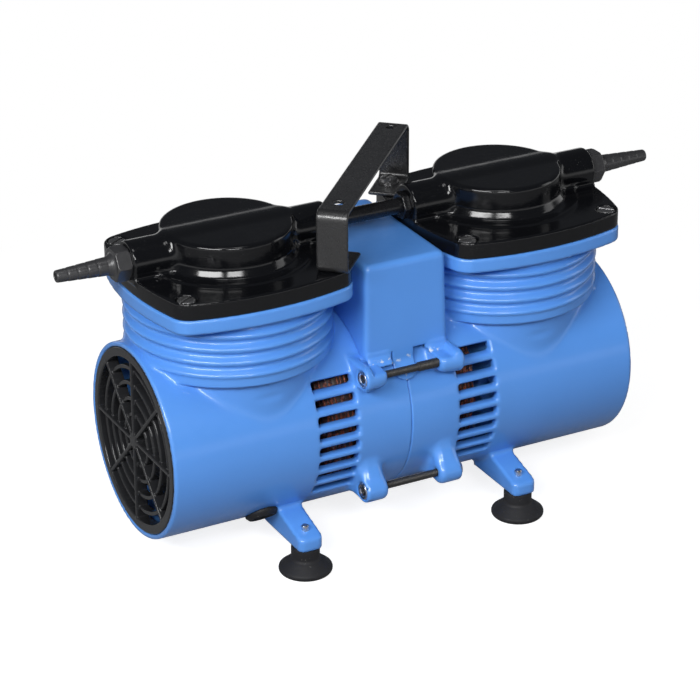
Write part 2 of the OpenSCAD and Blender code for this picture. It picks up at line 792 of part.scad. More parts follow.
module studs() each_foot() translate([0, 0, 3]) rotate_extrude()
    polygon([[0, 0], [2, 0], [2, leg_bottom + 8.3], [1.5, leg_bottom + 8.8], [0, leg_bottom + 8.8]]);

module each_rod()
    for (y = [-1, 1], z = [-1, 1]) translate([0, y * rod_side, axis_height + z * rod_rise]) children();

module rods() each_rod() rotate([0, 90, 0]) cylinder(h = 2 * lug_outer - 1, r = rod_d / 2, center = true);

module rod_nuts() {
    each_rod() for (s = [0, 1]) mirror([s, 0, 0])
        translate([lug_outer - pocket_depth, 0, 0]) rotate([0, 90, 0]) difference() {
            intersection() {
                cylinder(h = 3.4, r = 4.55, $fn = 6);
                rotate_extrude() polygon([[0, 0], [4.55, 0], [4.55, 2.8], [3.9, 3.4], [0, 3.4]]);
            }
            translate([0, 0, -1]) cylinder(h = 8, r = rod_d / 2);
        }
}

module access_plug() {
    difference() {
        toward_plug(bore_r + 1) union() {
            cylinder(h = drum_wall + 1, r = plug_shank_r);
            translate([0, 0, drum_wall - 2.6]) rotate_extrude()
                polygon([[0, 0], [8.8, 0], [8.8, 2.8], [8.3, 4], [7.2, 4.6], [5.6, 4.6], [4.8, 3.8],
                         [0, 3.8]]);
        }
        difference() {
            on_axis(plug_x - 12) cylinder(h = 24, r = drum_r + 0.02, $fn = 128);
            toward_plug(40) cylinder(h = 30, r = plug_shank_r);
        }
        // The rim is cut level where it meets the side of the leg
        translate([-foot_x - leg_width / 2 - 0.05, -drum_r - 10, 0]) cube([20, drum_r, axis_height]);
    }
}

// Handle strap: a level bar, two legs and two foot tabs, seen along its width.
// A bend is an arc about one of the four corners, tight at the bar and wide at the feet
function bend(side, x, z, r, a0, a1) =
    [for (i = [0 : 6]) let (a = a0 + (a1 - a0) * i / 6) [side * (x + r * cos(a)), z + r * sin(a)]];
module handle_strap() {
    t = strap_thickness;
    r = handle_reach;
    rise = handle_top - head_top;
    top_bend = 2.4;
    foot_bend = 4;
    function half(side) = concat(
        bend(side, r - top_bend, rise - top_bend, top_bend, 90, 0),
        bend(side, r - foot_bend, foot_bend, foot_bend, 0, -90),
        [[side * (r - tab_length), 0], [side * (r - tab_length), t]],
        bend(side, r - foot_bend, foot_bend, foot_bend - t, -90, 0),
        bend(side, r - top_bend, rise - top_bend, top_bend - t, 0, 90)
    );
    right = half(1);
    left = half(-1);
    rotate([0, 0, handle_angle]) difference() {
        translate([0, strap_width / 2, head_top]) rotate([90, 0, 0]) linear_extrude(strap_width)
            polygon(concat(right, [for (i = [len(left) - 1 : -1 : 0]) left[i]]));
        for (x = [14.5 - r, r - 9.5]) translate([x, 0, handle_top - 6]) cylinder(h = 10, r = 2.8);
        rotate([0, 0, -handle_angle]) for (s = [-1, 1])
            translate([s * (-barrel_x - screw_offset), s * screw_offset, head_top - 2])
                cylinder(h = 8, r = 2.7);
    }
}

module strap_screws() {
    for (s = [-1, 1])
        translate([s * (-barrel_x - screw_offset), s * screw_offset, head_top + strap_thickness])
            difference() {
                union() {
                    translate([0, 0, -15]) cylinder(h = 15, r = 2.5);
                    cylinder(h = 0.8, r = 5.5);
                    translate([0, 0, 0.8]) rotate_extrude()
                        polygon([[0, 0], [4.6, 0], [4.3, 1.6], [3, 2.7], [0, 3]]);
                }
                translate([0, 0, 2.6]) rotate([0, 0, 20]) translate([-6, -0.6, 0]) cube([12, 1.2, 3]);
            }
}

// Pieces
module casing_left() color(casing_blue) casing();
module casing_right() color(casing_blue) right_end() casing();
module grille_left() color(plastic_dark) grille();
module grille_right() color(plastic_dark) right_end() grille();
module bearing_left() color(steel_light) shaft_bearing();
module bearing_right() color(steel_light) right_end() shaft_bearing();
module stator_core() color(steel_dark) stator();
module stator_windings() color(copper_red) windings();
module tie_rods() color(steel_dark) rods();
module tie_rod_nuts() color(steel_light) rod_nuts();
module terminal_box_cover() color(casing_blue) box_cover();
module run_capacitor() color("#d8d8d4") capacitor();
module terminal_block() color("#e6e2d2") terminals();
module cable_grommet() color(rubber_dark) grommet();
module access_plug_left() color(rubber_dark) access_plug();
module access_plug_right() color(rubber_dark) right_end() access_plug();
module foot_front_left() color(rubber_dark) rubber_foot(-1, -1);
module foot_front_right() color(rubber_dark) rubber_foot(1, -1);
module foot_rear_left() color(rubber_dark) rubber_foot(-1, 1);
module foot_rear_right() color(rubber_dark) rubber_foot(1, 1);
module foot_studs() color(steel_light) studs();
module cylinder_head_left() color(head_black) cylinder_head();
module cylinder_head_right() color(head_black) right_end() cylinder_head();
module valve_plate_left() color("#b8bcc0") valve_plate();
module valve_plate_right() color("#b8bcc0") right_end() valve_plate();
module head_gasket_left() color("#3b3a36") head_gasket();
module head_gasket_right() color("#3b3a36") right_end() head_gasket();
module reed_valves_left() color(steel_light) reed_valves();
module reed_valves_right() color(steel_light) right_end() reed_valves();
module diaphragm_left() color(rubber_dark) diaphragm(crank_throw);
module diaphragm_right() color(rubber_dark) right_end() diaphragm(-crank_throw);
module head_screws_left() color(strap_black) head_screws();
module head_screws_right() color(strap_black) right_end() head_screws();
module hose_tail_left() color(plastic_dark) hose_tail();
module hose_tail_right() color(plastic_dark) right_end() hose_tail();
module link_tube() color(plastic_dark) link_tube_body();
module tube_nut_left() color(plastic_dark) tube_nut();
module tube_nut_right() color(plastic_dark) right_end() tube_nut();
module carry_handle() color(strap_black) handle_strap();
module handle_screws() color(strap_black) strap_screws();
module motor_shaft() color(steel_light) on_axis(-125) cylinder(h = 250, r = shaft_d / 2);
module rotor_core() color("#9a9ca0") rotor();
module eccentric_left() color("#8b8d90") eccentric(crank_throw);
module eccentric_right() color("#8b8d90") right_end() eccentric(-crank_throw);
module fan_left() color(plastic_dark) fan();
module fan_right() color(plastic_dark) right_end() fan();
module con_rod_left() color("#b8bcc0") con_rod(crank_throw);
module con_rod_right() color("#b8bcc0") right_end() con_rod(-crank_throw);
module rod_bearing_left() color(steel_light) rod_bearing(crank_throw);
module rod_bearing_right() color(steel_light) right_end() rod_bearing(-crank_throw);
module clamp_plate_left() color("#b8bcc0") clamp_plate(crank_throw);
module clamp_plate_right() color("#b8bcc0") right_end() clamp_plate(-crank_throw);
module clamp_screw_left() color(steel_light) clamp_screw(crank_throw);
module clamp_screw_right() color(steel_light) right_end() clamp_screw(-crank_throw);

casing_left();
casing_right();
grille_left();
grille_right();
bearing_left();
bearing_right();
stator_core();
stator_windings();
tie_rods();
tie_rod_nuts();
terminal_box_cover();
run_capacitor();
terminal_block();
cable_grommet();
access_plug_left();
access_plug_right();
foot_front_left();
foot_front_right();
foot_rear_left();
foot_rear_right();
foot_studs();
cylinder_head_left();
cylinder_head_right();
valve_plate_left();
valve_plate_right();
head_gasket_left();
head_gasket_right();
reed_valves_left();
reed_valves_right();
diaphragm_left();
diaphragm_right();
head_screws_left();
head_screws_right();
hose_tail_left();
hose_tail_right();
link_tube();
tube_nut_left();
tube_nut_right();
carry_handle();
handle_screws();
motor_shaft();
rotor_core();
eccentric_left();
eccentric_right();
fan_left();
fan_right();
con_rod_left();
rod_bearing_left();
clamp_plate_left();
clamp_screw_left();
con_rod_right();
rod_bearing_right();
clamp_plate_right();
clamp_screw_right();
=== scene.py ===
"""Looks of a twin-head diaphragm vacuum pump, dressed round its packed construction model."""
import json
import math

import bpy
import numpy as np
from mathutils import Matrix, Vector


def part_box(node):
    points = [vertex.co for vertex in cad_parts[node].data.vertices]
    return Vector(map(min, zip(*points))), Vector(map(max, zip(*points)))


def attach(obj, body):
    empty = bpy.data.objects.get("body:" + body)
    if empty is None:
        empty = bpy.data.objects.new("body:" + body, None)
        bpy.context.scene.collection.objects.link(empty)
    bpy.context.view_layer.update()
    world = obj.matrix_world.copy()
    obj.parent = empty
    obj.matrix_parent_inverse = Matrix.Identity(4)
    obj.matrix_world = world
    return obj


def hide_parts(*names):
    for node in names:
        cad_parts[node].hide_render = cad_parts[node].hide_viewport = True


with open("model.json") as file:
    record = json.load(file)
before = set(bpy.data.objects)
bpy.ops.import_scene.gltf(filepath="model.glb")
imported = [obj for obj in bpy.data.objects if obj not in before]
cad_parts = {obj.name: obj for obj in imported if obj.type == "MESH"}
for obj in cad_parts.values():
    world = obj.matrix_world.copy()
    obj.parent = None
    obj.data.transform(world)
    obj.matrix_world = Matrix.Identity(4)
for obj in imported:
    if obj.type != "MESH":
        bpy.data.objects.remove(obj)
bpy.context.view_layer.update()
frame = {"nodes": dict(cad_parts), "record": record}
nodes = frame["nodes"]
MM = 0.001

# Places, in millimetres: those that the frame states are read from it

def low(node):
    """Lowest corner of a node in millimetres."""
    return np.array(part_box(node)[0]) / MM


def high(node):
    """Highest corner of a node in millimetres."""
    return np.array(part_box(node)[1]) / MM


def centre(node):
    """Middle of a node's box in millimetres."""
    return (low(node) + high(node)) / 2


AXIS = centre("motor_shaft")[2]
DRUM_END = high("casing_right")[0]
BARREL = centre("valve_plate_right")[0]
FLANGE_TOP = high("casing_left")[2]
CAP_TOP = high("cylinder_head_left")[2]
HEAD_TOP = low("carry_handle")[2]
PORT_AXIS = centre("link_tube")[2]
BOX_TOP = high("terminal_box_cover")[2]
HANDLE_TOP = high("carry_handle")[2]
TAIL_TIP = -low("hose_tail_left")[0]
FOOT_X = centre("foot_front_right")[0]
FOOT_Y = centre("foot_rear_right")[1]
LEG_BOTTOM = high("foot_front_left")[2]
FOOT_R = (high("foot_front_left")[0] - low("foot_front_left")[0]) / 2
GROMMET = centre("cable_grommet")
ROD_R = 2.1
ROD_SIDE = high("tie_rods")[1] - ROD_R
ROD_RISE = high("tie_rods")[2] - ROD_R - AXIS

# Measures of the casing: drum, the wall that carries the bearing, lugs, nut wells in them and cooling slots. The lugs
# and slots at the back of the left half (and so at the front of the right one) stand nearer the seam by SEAM_SHIFT.
DRUM_R, BORE_R = 52.0, 46.5
WALL_IN, WALL_OUT, WINDOW_RING = 54, 62, 34
LUG_IN, LUG_OUT, LUG_R = 16.2, 29.5, 6.8
NUT_WELL_R, NUT_WELL_DEPTH = 4.7, 4.2
SLOT_MIDDLE, SLOT_HALF, SLOT_HALF_HEIGHT, SLOT_PITCH = 41.95, 11.45, 2.5, 8.25
SEAM_SHIFT = 1.8

# Barrel in section: four ribs in a wave, a plain band under them and a neck down to the drum
RIB_R, RIB_DEPTH, RIB_PITCH = 54.0, 3.0, 7.15
CREST_TOP = FLANGE_TOP - 13.5
RIB_BOTTOM = CREST_TOP - 3.245 * RIB_PITCH
CYLINDER_R, MOUTH_R = 44.5, 36.5

# Heads with their ports and corner screws, hose tails, box cover with its tongue, and handle
SCREW_OFFSET, SCREW_R, SCREW_WELL_R = 42.0, 4.8, 5.2
PORT_REACH, PORT_R, HEX_START, HEX_LENGTH = 55.2, 10.9, 55, 8.0
GROOVE_START, GROOVE_PITCH, TAIL_BORE_R = 3.1, 5.27, 1.9
BOX_HALF_Y, BOX_SHEET, BOX_FLOOR, TONGUE_X = 42.2, 2, AXIS + ROD_RISE + 3.5, 0.25
HANDLE_HALF, STRAP_HALF, TAB_LENGTH, HANDLE_TURN = 66.9, 8.2, 26.5, math.radians(47.7)


# Solids written as fields: negative inside, zero on the skin, in millimetres

def soft_min(a, b, blend):
    """Union of two fields with a hollow fillet of about the blend's size: min(a, b) less a parabola where they meet."""
    share = np.clip(0.5 + 0.5 * (b - a) / blend, 0, 1)
    return b + (a - b) * share - blend * share * (1 - share)


def soft_max(a, b, blend):
    """Common part of two fields with its edge rounded: the mirror of soft_min."""
    return -soft_min(-a, -b, blend)


def spans(*stretches):
    """Grid stations from (start, step) pairs and a last end, so that small features get small cells."""
    stations = []
    for (start, step), (end, _) in zip(stretches, stretches[1:]):
        count = max(1, round((end - start) / step))
        stations.append(np.linspace(start, end, count, endpoint=False))
    return np.concatenate(stations + [[stretches[-1][0]]])


def even(start, end, step):
    """Grid stations an even step apart."""
    return spans((start, step), (end, 1))


def slope_of(field, p, reach=0.05):
    """Gradient of a field at points p, by central differences along the three axes."""
    columns = []
    for axis in range(3):
        step = np.zeros(3)
        step[axis] = reach
        ahead, behind = p + step, p - step
        columns.append((field(*ahead.T) - field(*behind.T)) / (2 * reach))
    return np.stack(columns, 1)


def skin(field, xs, ys, zs, rounds=3, least_slope=0.2, longest_step=1.0):
    """Four-sided faces over the zero surface of a field.
    Each grid cell with corners on both sides holds one vertex, the mean of the points where its edges cross zero,
    and each crossed grid edge gives one face between the four cells round it. Then the vertices are relaxed towards
    their neighbours' mean and stepped back onto the surface along the slope: p - f(p) * grad / |grad|^2."""
    values = field(xs[:, None, None], ys[None, :, None], zs[None, None, :])
    inside = values < 0
    cells = tuple(n - 1 for n in inside.shape)
    corners = [(a, b, c) for a in (0, 1) for b in (0, 1) for c in (0, 1)]
    count = sum(inside[a:a + cells[0], b:b + cells[1], c:c + cells[2]].astype(np.int8) for a, b, c in corners)
    home = np.stack(np.nonzero((count > 0) & (count < 8)), 1)
    number = np.full(cells, -1)
    number[tuple(home.T)] = np.arange(len(home))
    at = {c: values[tuple((home + c).T)] for c in corners}
    total, hits = np.zeros((len(home), 3)), np.zeros(len(home))
    for start in corners:
        for axis in range(3):
            if start[axis]:
                continue
            end = tuple(1 if i == axis else start[i] for i in range(3))
            crossed = (at[start] < 0) != (at[end] < 0)
            share = at[start][crossed] / (at[start][crossed] - at[end][crossed])
            total[crossed] += np.array(start, float)
            total[crossed, axis] += share
            hits += crossed
    place = total / hits[:, None]
    grid = (xs, ys, zs)
    p = np.stack([g[home[:, i]] + place[:, i] * (g[home[:, i] + 1] - g[home[:, i]]) for i, g in enumerate(grid)], 1)
    faces = []
    for axis in range(3):
        b, c = (axis + 1) % 3, (axis + 2) % 3
        lower = [slice(None)] * 3
        upper = [slice(None)] * 3
        lower[axis], upper[axis] = slice(None, -1), slice(1, None)
        crossed = inside[tuple(lower)] != inside[tuple(upper)]
        edge = np.stack(np.nonzero(crossed), 1)
        keep = (edge[:, b] > 0) & (edge[:, c] > 0) & (edge[:, b] < cells[b]) & (edge[:, c] < cells[c])
        edge = edge[keep]
        ring = []
        for back_b, back_c in ((1, 1), (0, 1), (0, 0), (1, 0)):
            cell = edge.copy()
            cell[:, b] -= back_b
            cell[:, c] -= back_c
            ring.append(number[tuple(cell.T)])
        quad = np.stack(ring, 1)
        outward = inside[tuple(edge.T)]
        faces.append(np.where(outward[:, None], quad, quad[:, ::-1]))
    faces = np.concatenate(faces)
    ends = np.concatenate([faces[:, [0, 1]], faces[:, [1, 2]], faces[:, [2, 3]], faces[:, [3, 0]]])
    degree = np.bincount(ends[:, 0], minlength=len(p)) + np.bincount(ends[:, 1], minlength=len(p))
    for turn in range(rounds):
        if turn < rounds - 1:
            mean = np.stack([
                np.bincount(ends[:, 0], p[ends[:, 1], i], len(p)) + np.bincount(ends[:, 1], p[ends[:, 0], i], len(p))
                for i in range(3)], 1) / np.maximum(degree, 1)[:, None]
            p = 0.5 * p + 0.5 * mean
        for _ in range(2):
            slope = slope_of(field, p)
            square = np.maximum((slope ** 2).sum(1), least_slope)
            step = np.clip(field(*p.T) / square, -longest_step, longest_step)
            p = p - slope * step[:, None]
    return p, faces


def bowed(u, y, mid, bow=155.0, cut=1.6):
    """Plan of the flanges about the barrel: four circles of a large radius, with the corners cut and softened."""
    shift = bow - mid
    corner = (math.sqrt(2 * bow * bow - shift * shift) - shift) / 2 * math.sqrt(2)
    along_x = np.hypot(np.abs(u) + shift, y) - bow
    along_y = np.hypot(u, np.abs(y) + shift) - bow
    square = soft_max(along_x, along_y, 1.5)
    return soft_max(square, np.hypot(u, y) - corner + cut, 1.2)


def hexagon(a, b, flats, turn=math.radians(30)):
    """Distance to a hexagon about the origin: the greatest of three flat pairs, turned by an angle."""
    sides = [np.abs(a * math.cos(turn + k * math.pi / 3) + b * math.sin(turn + k * math.pi / 3)) for k in range(3)]
    return np.maximum(np.maximum(sides[0], sides[1]), sides[2]) - flats / 2


def disc(r, x, radius, middle, half):
    """Short cylinder about an axis: its radius, the distance of its middle from the seam, and half its length."""
    return np.maximum(r - radius, np.abs(x + middle) - half)


# Casing

def barrel_radius(z):
    """Radius over the ribs at height z: mean radius plus a cosine wave, and below the last rib a band and a neck."""
    wave = RIB_R - RIB_DEPTH / 2 + RIB_DEPTH / 2 * np.cos(2 * math.pi * (z - CREST_TOP) / RIB_PITCH)
    heights = [AXIS, RIB_BOTTOM - 6.2, RIB_BOTTOM - 5.5, RIB_BOTTOM - 5.0, RIB_BOTTOM - 4.4, RIB_BOTTOM]
    radii = [47.2, 47.4, 50.8, 52.0, 52.7, 52.7]
    plain = np.interp(z, heights, radii)
    return np.where(z > RIB_BOTTOM, wave, plain)


def lug_field(a, side, up, rise):
    """One tie-rod lug: a round arm that grows outwards above, and below one with a fairing that climbs the drum from
    it and grows thinner, both with rounded ends."""
    thick = np.interp(-a, [LUG_IN, LUG_OUT], [5.2, LUG_R]) if rise > 0 else LUG_R - 0.9
    arm = np.hypot(side - np.clip(side, 30, ROD_SIDE), up - rise) - thick
    if rise < 0:
        inward, climb, thinning = 4.0, 13.5, 3.6
        along = np.clip(((side - ROD_SIDE) * -inward + (up - rise) * climb) / (inward ** 2 + climb ** 2), 0, 1)
        fairing = np.hypot(side - ROD_SIDE + inward * along, up - rise - climb * along) - thick + thinning * along
        lug_middle, lug_flat = 22.8, 3.0
        narrowing = 0.7 * np.maximum(np.abs(a + lug_middle) - lug_flat, 0) * along
        arm = soft_min(arm, fairing + narrowing, 2.0)
    return soft_max(soft_max(arm, -a - LUG_OUT, 2.0), a + LUG_IN, 3.5)


def leg_field(x, side, z):
    """One leg: a round-ended bar from the drum out to the foot's stud, with a top that slopes down and flattens."""
    half_width, end = 6.8, FOOT_Y + 8
    top = np.interp(side, [31.5, 34, 38, 60.7, 61.7], [33.6, 30.6, 28.2, 21.9, 21.4])
    leg = soft_max(np.abs(x + FOOT_X) - half_width, side - end, 4.0)
    return soft_max(leg, np.maximum(soft_max(z - top, LEG_BOTTOM - z, 0.8), 18 - side), 1.1)


def cover_seat(x, y, z):
    """Space cut level over the upper lugs for the lips of the box cover; at the back it ends in a step up over the
    nut's well."""
    along = np.maximum(-np.where(y > 0, 28.2, 24.6) - x, x + 8.6)
    rise = np.where(y > 0, np.interp(-x, [21.9, 24.2], [3.3, 5.8]), 3.3)
    return np.maximum(along, np.maximum(39.5 - np.abs(y), AXIS + ROD_RISE + rise - z))


def casing_shell(x, y, z):
    """Outside of the left half: drum, ribbed barrel, flange, lugs and legs, run into one another."""
    up, side, u = z - AXIS, np.abs(y), x + BARREL
    a = x - SEAM_SHIFT * (y > 0)
    drum_r, barrel_r = np.hypot(y, up), np.hypot(u, y)
    drum = soft_max(drum_r - DRUM_R, -(x + DRUM_END), 1.2)
    barrel = np.maximum(barrel_r - barrel_radius(z), np.maximum(AXIS - z, z - FLANGE_TOP))
    neck_blend = np.interp(z, [101, 107, 112], [1.8, 2.8, 2.2])
    body = soft_min(drum, barrel, neck_blend)
    flange_middle, flange_half = FLANGE_TOP - 3.8, 3.8
    flange = soft_max(bowed(u, y, 55.5), np.abs(z - flange_middle) - flange_half, 0.9)
    body = soft_min(body, flange, 1.4)
    body = soft_min(body, lug_field(a, side, up, ROD_RISE), 1.8)
    body = soft_min(body, lug_field(a, side, up, -ROD_RISE), 4.0)
    body = soft_min(body, leg_field(x, side, z), 3.5)
    return soft_max(body, -cover_seat(x, y, z), 1.0)


def casing_hollow(x, y, z):
    """Room inside the left half: motor space and crank space with the bearing wall between them, the grille's seat,
    air windows in the wall, and the bore of the barrel with its narrower mouth."""
    up, u = z - AXIS, x + BARREL
    drum_r, barrel_r = np.hypot(y, up), np.hypot(u, y)
    motor = np.maximum(drum_r - BORE_R, -WALL_IN - x)
    crank = np.maximum(drum_r - BORE_R - 1.5, x + WALL_OUT)
    grille_seat = np.maximum(drum_r - 49.5, x + DRUM_END - 7)
    hub = disc(drum_r, x, 21, 58.5, 6.5)
    room = np.maximum(np.minimum(np.minimum(motor, crank), grille_seat), -hub)
    bearing_pocket = disc(drum_r, x, 16, 59, 5)
    shaft_hole = disc(drum_r, x, 10, 60, 9)
    sixth = math.pi / 3
    nearest = (np.floor(np.arctan2(y, up) / sixth) + 0.5) * sixth
    window_r = np.hypot(up - WINDOW_RING * np.cos(nearest), y - WINDOW_RING * np.sin(nearest))
    window = disc(window_r, x, 7, 58, 6)
    cylinder = np.maximum(barrel_r - CYLINDER_R, np.maximum(z - FLANGE_TOP + 11, AXIS - z))
    cylinder = np.maximum(cylinder, np.minimum(AXIS + DRUM_R + 2 - z, x + WALL_OUT))
    mouth = np.maximum(barrel_r - MOUTH_R, AXIS + DRUM_R - z)
    for hollow in (bearing_pocket, shaft_hole, window, cylinder, mouth):
        room = np.minimum(room, hollow)
    return room


def casing_field(x, y, z):
    """Left half of the casing: its shell, hollowed, parted at the seam, slotted and drilled for the tie rods."""
    up, side = z - AXIS, np.abs(y)
    a = x - SEAM_SHIFT * (y > 0)
    body = soft_max(casing_shell(x, y, z), x, 0.6)
    body = soft_max(body, -casing_hollow(x, y, z), 0.8)
    row = np.clip(np.round(up / SLOT_PITCH - 0.5) + 0.5, -3.5, 3.5) * SLOT_PITCH
    slot = soft_max(np.abs(a + SLOT_MIDDLE) - SLOT_HALF, np.abs(up - row) - SLOT_HALF_HEIGHT, 1.2)
    body = soft_max(body, -np.maximum(slot, 26 - side), 1.1)
    for rise in (ROD_RISE, -ROD_RISE):
        reach = np.hypot(side - ROD_SIDE, up - rise)
        nut_well = np.maximum(reach - NUT_WELL_R, x + LUG_OUT - NUT_WELL_DEPTH)
        body = soft_max(body, -np.minimum(reach - ROD_R - 0.1, nut_well), 0.5)
    return body


# Heads, cover and grilles

def head_field(x, y, z):
    """Left cylinder head: bowed flange, round cap that flares out to a low ring, port bosses and screw wells."""
    u = x + BARREL
    r = np.hypot(u, y)
    middle, half = (FLANGE_TOP + HEAD_TOP) / 2, (HEAD_TOP - FLANGE_TOP) / 2
    flange = soft_max(bowed(u, y, 55.1), np.abs(z - middle) - half, 0.9)
    wall_r = np.interp(z - HEAD_TOP, [0, 0.5, 1.1, 4.9, 5.9], [41.0, 38.2, 36.4, 34.3, 34.0])
    cap = soft_max(0.85 * (r - wall_r), z - CAP_TOP, 2.2)
    ring = soft_max(z - HEAD_TOP - 0.4, r - 42.4, 0.8)
    pipe = np.hypot(y, z - PORT_AXIS) - PORT_R
    web = np.maximum(np.abs(y) - PORT_R + 0.7, z - PORT_AXIS + 4)
    boss = soft_max(soft_min(pipe, web, 1.5), np.abs(u) - PORT_REACH, 1.2)
    upper = np.maximum(soft_min(soft_min(cap, ring, 1.6), boss, 4.0), HEAD_TOP - 2 - z)
    body = soft_min(upper, flange, 2.2)
    well = np.hypot(np.abs(u) - SCREW_OFFSET, np.abs(y) - SCREW_OFFSET) - SCREW_WELL_R
    return soft_max(body, -np.maximum(well, HEAD_TOP - 3 - z), 0.6)


def cover_field(x, y, z):
    """Cover of the terminal box: round-edged sheet that widens downwards, two flared lips each side with a notch
    between them, and a tongue in the notch that goes on down behind the rod, flat on the drum, to a bowed end."""
    side, drum_r = np.abs(y), np.hypot(y, z - AXIS)
    floor = BOX_FLOOR
    share = (z - floor) / (BOX_TOP - floor)
    left, right = -22.5 + 0.4 * share, 26.2 - 1.8 * share
    across = np.abs(x - (left + right) / 2) - (right - left) / 2
    walls = soft_max(across, side - BOX_HALF_Y, 3.2)
    outer = np.maximum(soft_max(walls, z - BOX_TOP, 3.6), floor + 0.9 - z)
    flare = np.interp(z, [floor - 3, floor - 1.5, floor + 0.5, floor + 3, floor + 6], [5.4, 4.4, 1.9, 0.4, 0.0])
    sheet = soft_max(np.abs(side - BOX_HALF_Y - flare + 1.1) - 1.1, np.abs(z - floor - 1.6) - 3.4, 1.2)
    left_lip, right_lip = np.abs(x + 14.6) - 7.5, np.abs(x - 19.9) - 6.2
    lips = np.minimum(left_lip - 0.15 * flare, right_lip - 0.15 * flare)
    body = soft_min(outer, soft_max(sheet, lips, 3.4), 1.0)
    inner_walls = np.maximum(across + BOX_SHEET, side - BOX_HALF_Y + BOX_SHEET)
    hollow = np.maximum(inner_walls, z - BOX_TOP + BOX_SHEET)
    body = np.maximum(body, -np.maximum(hollow, floor + 4 - z))
    body = np.maximum(body, -np.maximum(hollow, z - floor - 5))
    notch = np.maximum(np.maximum(np.abs(x - 3.0) - 10.0, z - floor - 3.4), BOX_HALF_Y - 4 - side)
    body = soft_max(body, -notch, 0.6)
    hanging = np.maximum(np.abs(side - BOX_HALF_Y + 0.9) - 0.9, np.abs(z - floor - 1.0) - 5.5)
    laid = np.maximum(np.abs(drum_r - DRUM_R - 0.9) - 0.85, z - floor + 1)
    bowed_end = 91.9 + 0.075 * (x + TONGUE_X) ** 2
    laid = soft_max(laid, bowed_end - z, 0.5)
    tongue = soft_max(soft_min(hanging, laid, 1.2), np.abs(x + TONGUE_X) - 6.15, 0.5)
    body = np.minimum(body, tongue)
    gland = np.maximum(np.hypot(x - GROMMET[0], z - GROMMET[2]) - 5.5, BOX_HALF_Y - 5 - y)
    body = np.maximum(body, -gland)
    return np.maximum(body, DRUM_R + 0.05 - drum_r)


def grille_field(x, y, z):
    """Left fan grille: an outer band, four rings set back from the face, and eight spokes, all with rounded edges."""
    up = z - AXIS
    r = np.hypot(y, up)
    depth = x + DRUM_END
    band = soft_max(np.abs(r - 46.8) - 2.5, np.abs(depth - 3.5) - 3.5, 0.8)
    first_ring, ring_step, eighth = 13.6, 8.4, math.pi / 4
    nearest = np.clip(np.round((r - first_ring) / ring_step), 0, 3) * ring_step + first_ring
    rings = soft_max(np.abs(r - nearest) - 1.12, np.abs(depth - 4.1) - 2.5, 0.7)
    turn = np.arctan2(y, up)
    off_spoke = np.abs(r * np.sin(turn - np.round(turn / eighth) * eighth))
    spokes = np.maximum(soft_max(off_spoke - 1.0, np.abs(depth - 3.4) - 3.3, 0.7), r - 45.5)
    hub = soft_max(r - 4.4, np.abs(depth - 3.5) - 3.3, 1.0)
    return soft_min(soft_min(band, rings, 0.3), soft_min(spokes, hub, 0.6), 0.5)


# Fittings

def tail_field(x, y, z):
    """Left hose tail: hexagon with chamfered corners, a root cone, and a long taper with five shallow grooves."""
    up = z - PORT_AXIS
    r = np.hypot(y, up)
    beyond = -x - BARREL - HEX_START - HEX_LENGTH
    length = TAIL_TIP - BARREL - HEX_START - HEX_LENGTH
    off = np.abs(beyond + HEX_LENGTH / 2) - HEX_LENGTH / 2
    nut = soft_max(hexagon(y, up, 16.2), off, 0.5)
    nut = np.maximum(nut, r - 9.3 + 0.9 * np.maximum(off + 1, 0))
    phase = (beyond - GROOVE_START) / GROOVE_PITCH
    step = np.where((phase > -0.3) & (phase < 4.5), np.mod(phase, 1), 0.5)
    groove = 0.16 * np.exp(-(np.minimum(step, 1 - step) / 0.09) ** 2)
    taper = np.interp(beyond, [0, 0.9, 2.1, 4.0, length], [6.5, 5.7, 5.0, 4.75, 3.1])
    taper = taper - groove + 0.10 * (step - 0.5)
    tail = soft_max(r - taper, np.abs(beyond - length / 2 + 1) - length / 2 - 1, 0.9)
    return np.maximum(soft_min(nut, tail, 0.6), TAIL_BORE_R - r)


def nut_field(x, y, z):
    """Left union nut of the link tube."""
    up, half, tube_r = z - PORT_AXIS, 2.1, 4.2
    r = np.hypot(y, up)
    off = np.abs(x + BARREL - HEX_START - half) - half
    nut = soft_max(hexagon(y, up, 13.0), off, 0.5)
    nut = np.maximum(nut, r - 7.5 + 0.9 * np.maximum(off + 0.8, 0))
    return np.maximum(nut, tube_r - r)


def strap_field(u, v, z):
    """Handle in its own plane: the rim of a round-cornered frame, open below between its two foot tabs, with a hole
    near each upper corner."""
    middle, half = (HEAD_TOP + HANDLE_TOP) / 2, (HANDLE_TOP - HEAD_TOP) / 2
    corner = np.where(z > middle, 4.8, 4.2)
    across, height = np.abs(u) - HANDLE_HALF + corner, np.abs(z - middle) - half + corner
    past_corner = np.hypot(np.maximum(across, 0), np.maximum(height, 0))
    outline = past_corner + np.minimum(np.maximum(across, height), 0) - corner
    strap = soft_max(soft_max(np.abs(outline + 1) - 1, np.abs(v) - STRAP_HALF, 1.0), -1.0, 0.1)
    gap = np.maximum(np.abs(u) - HANDLE_HALF + TAB_LENGTH, z - middle)
    strap = soft_max(strap, -gap, 0.6)
    nearest = np.where(u < 0, HANDLE_HALF - 14.5, 9.5 - HANDLE_HALF)
    hole = np.maximum(np.hypot(u + nearest, v) - 2.8, middle - z)
    return soft_max(strap, -hole, 0.7)


def screw_field(x, y, z):
    """Slotted screw head standing on the origin: a low round-edged drum with a slot along X, and a short shank."""
    r = np.hypot(x, y)
    head = soft_max(r - SCREW_R, np.abs(z - 1.4) - 1.5, 1.3)
    shank = np.maximum(r - SCREW_R / 2, np.abs(z + 2) - 2.5)
    slot = np.maximum(np.abs(y) - 0.7, 1.5 - z)
    return soft_max(np.minimum(head, shank), -slot, 0.25)


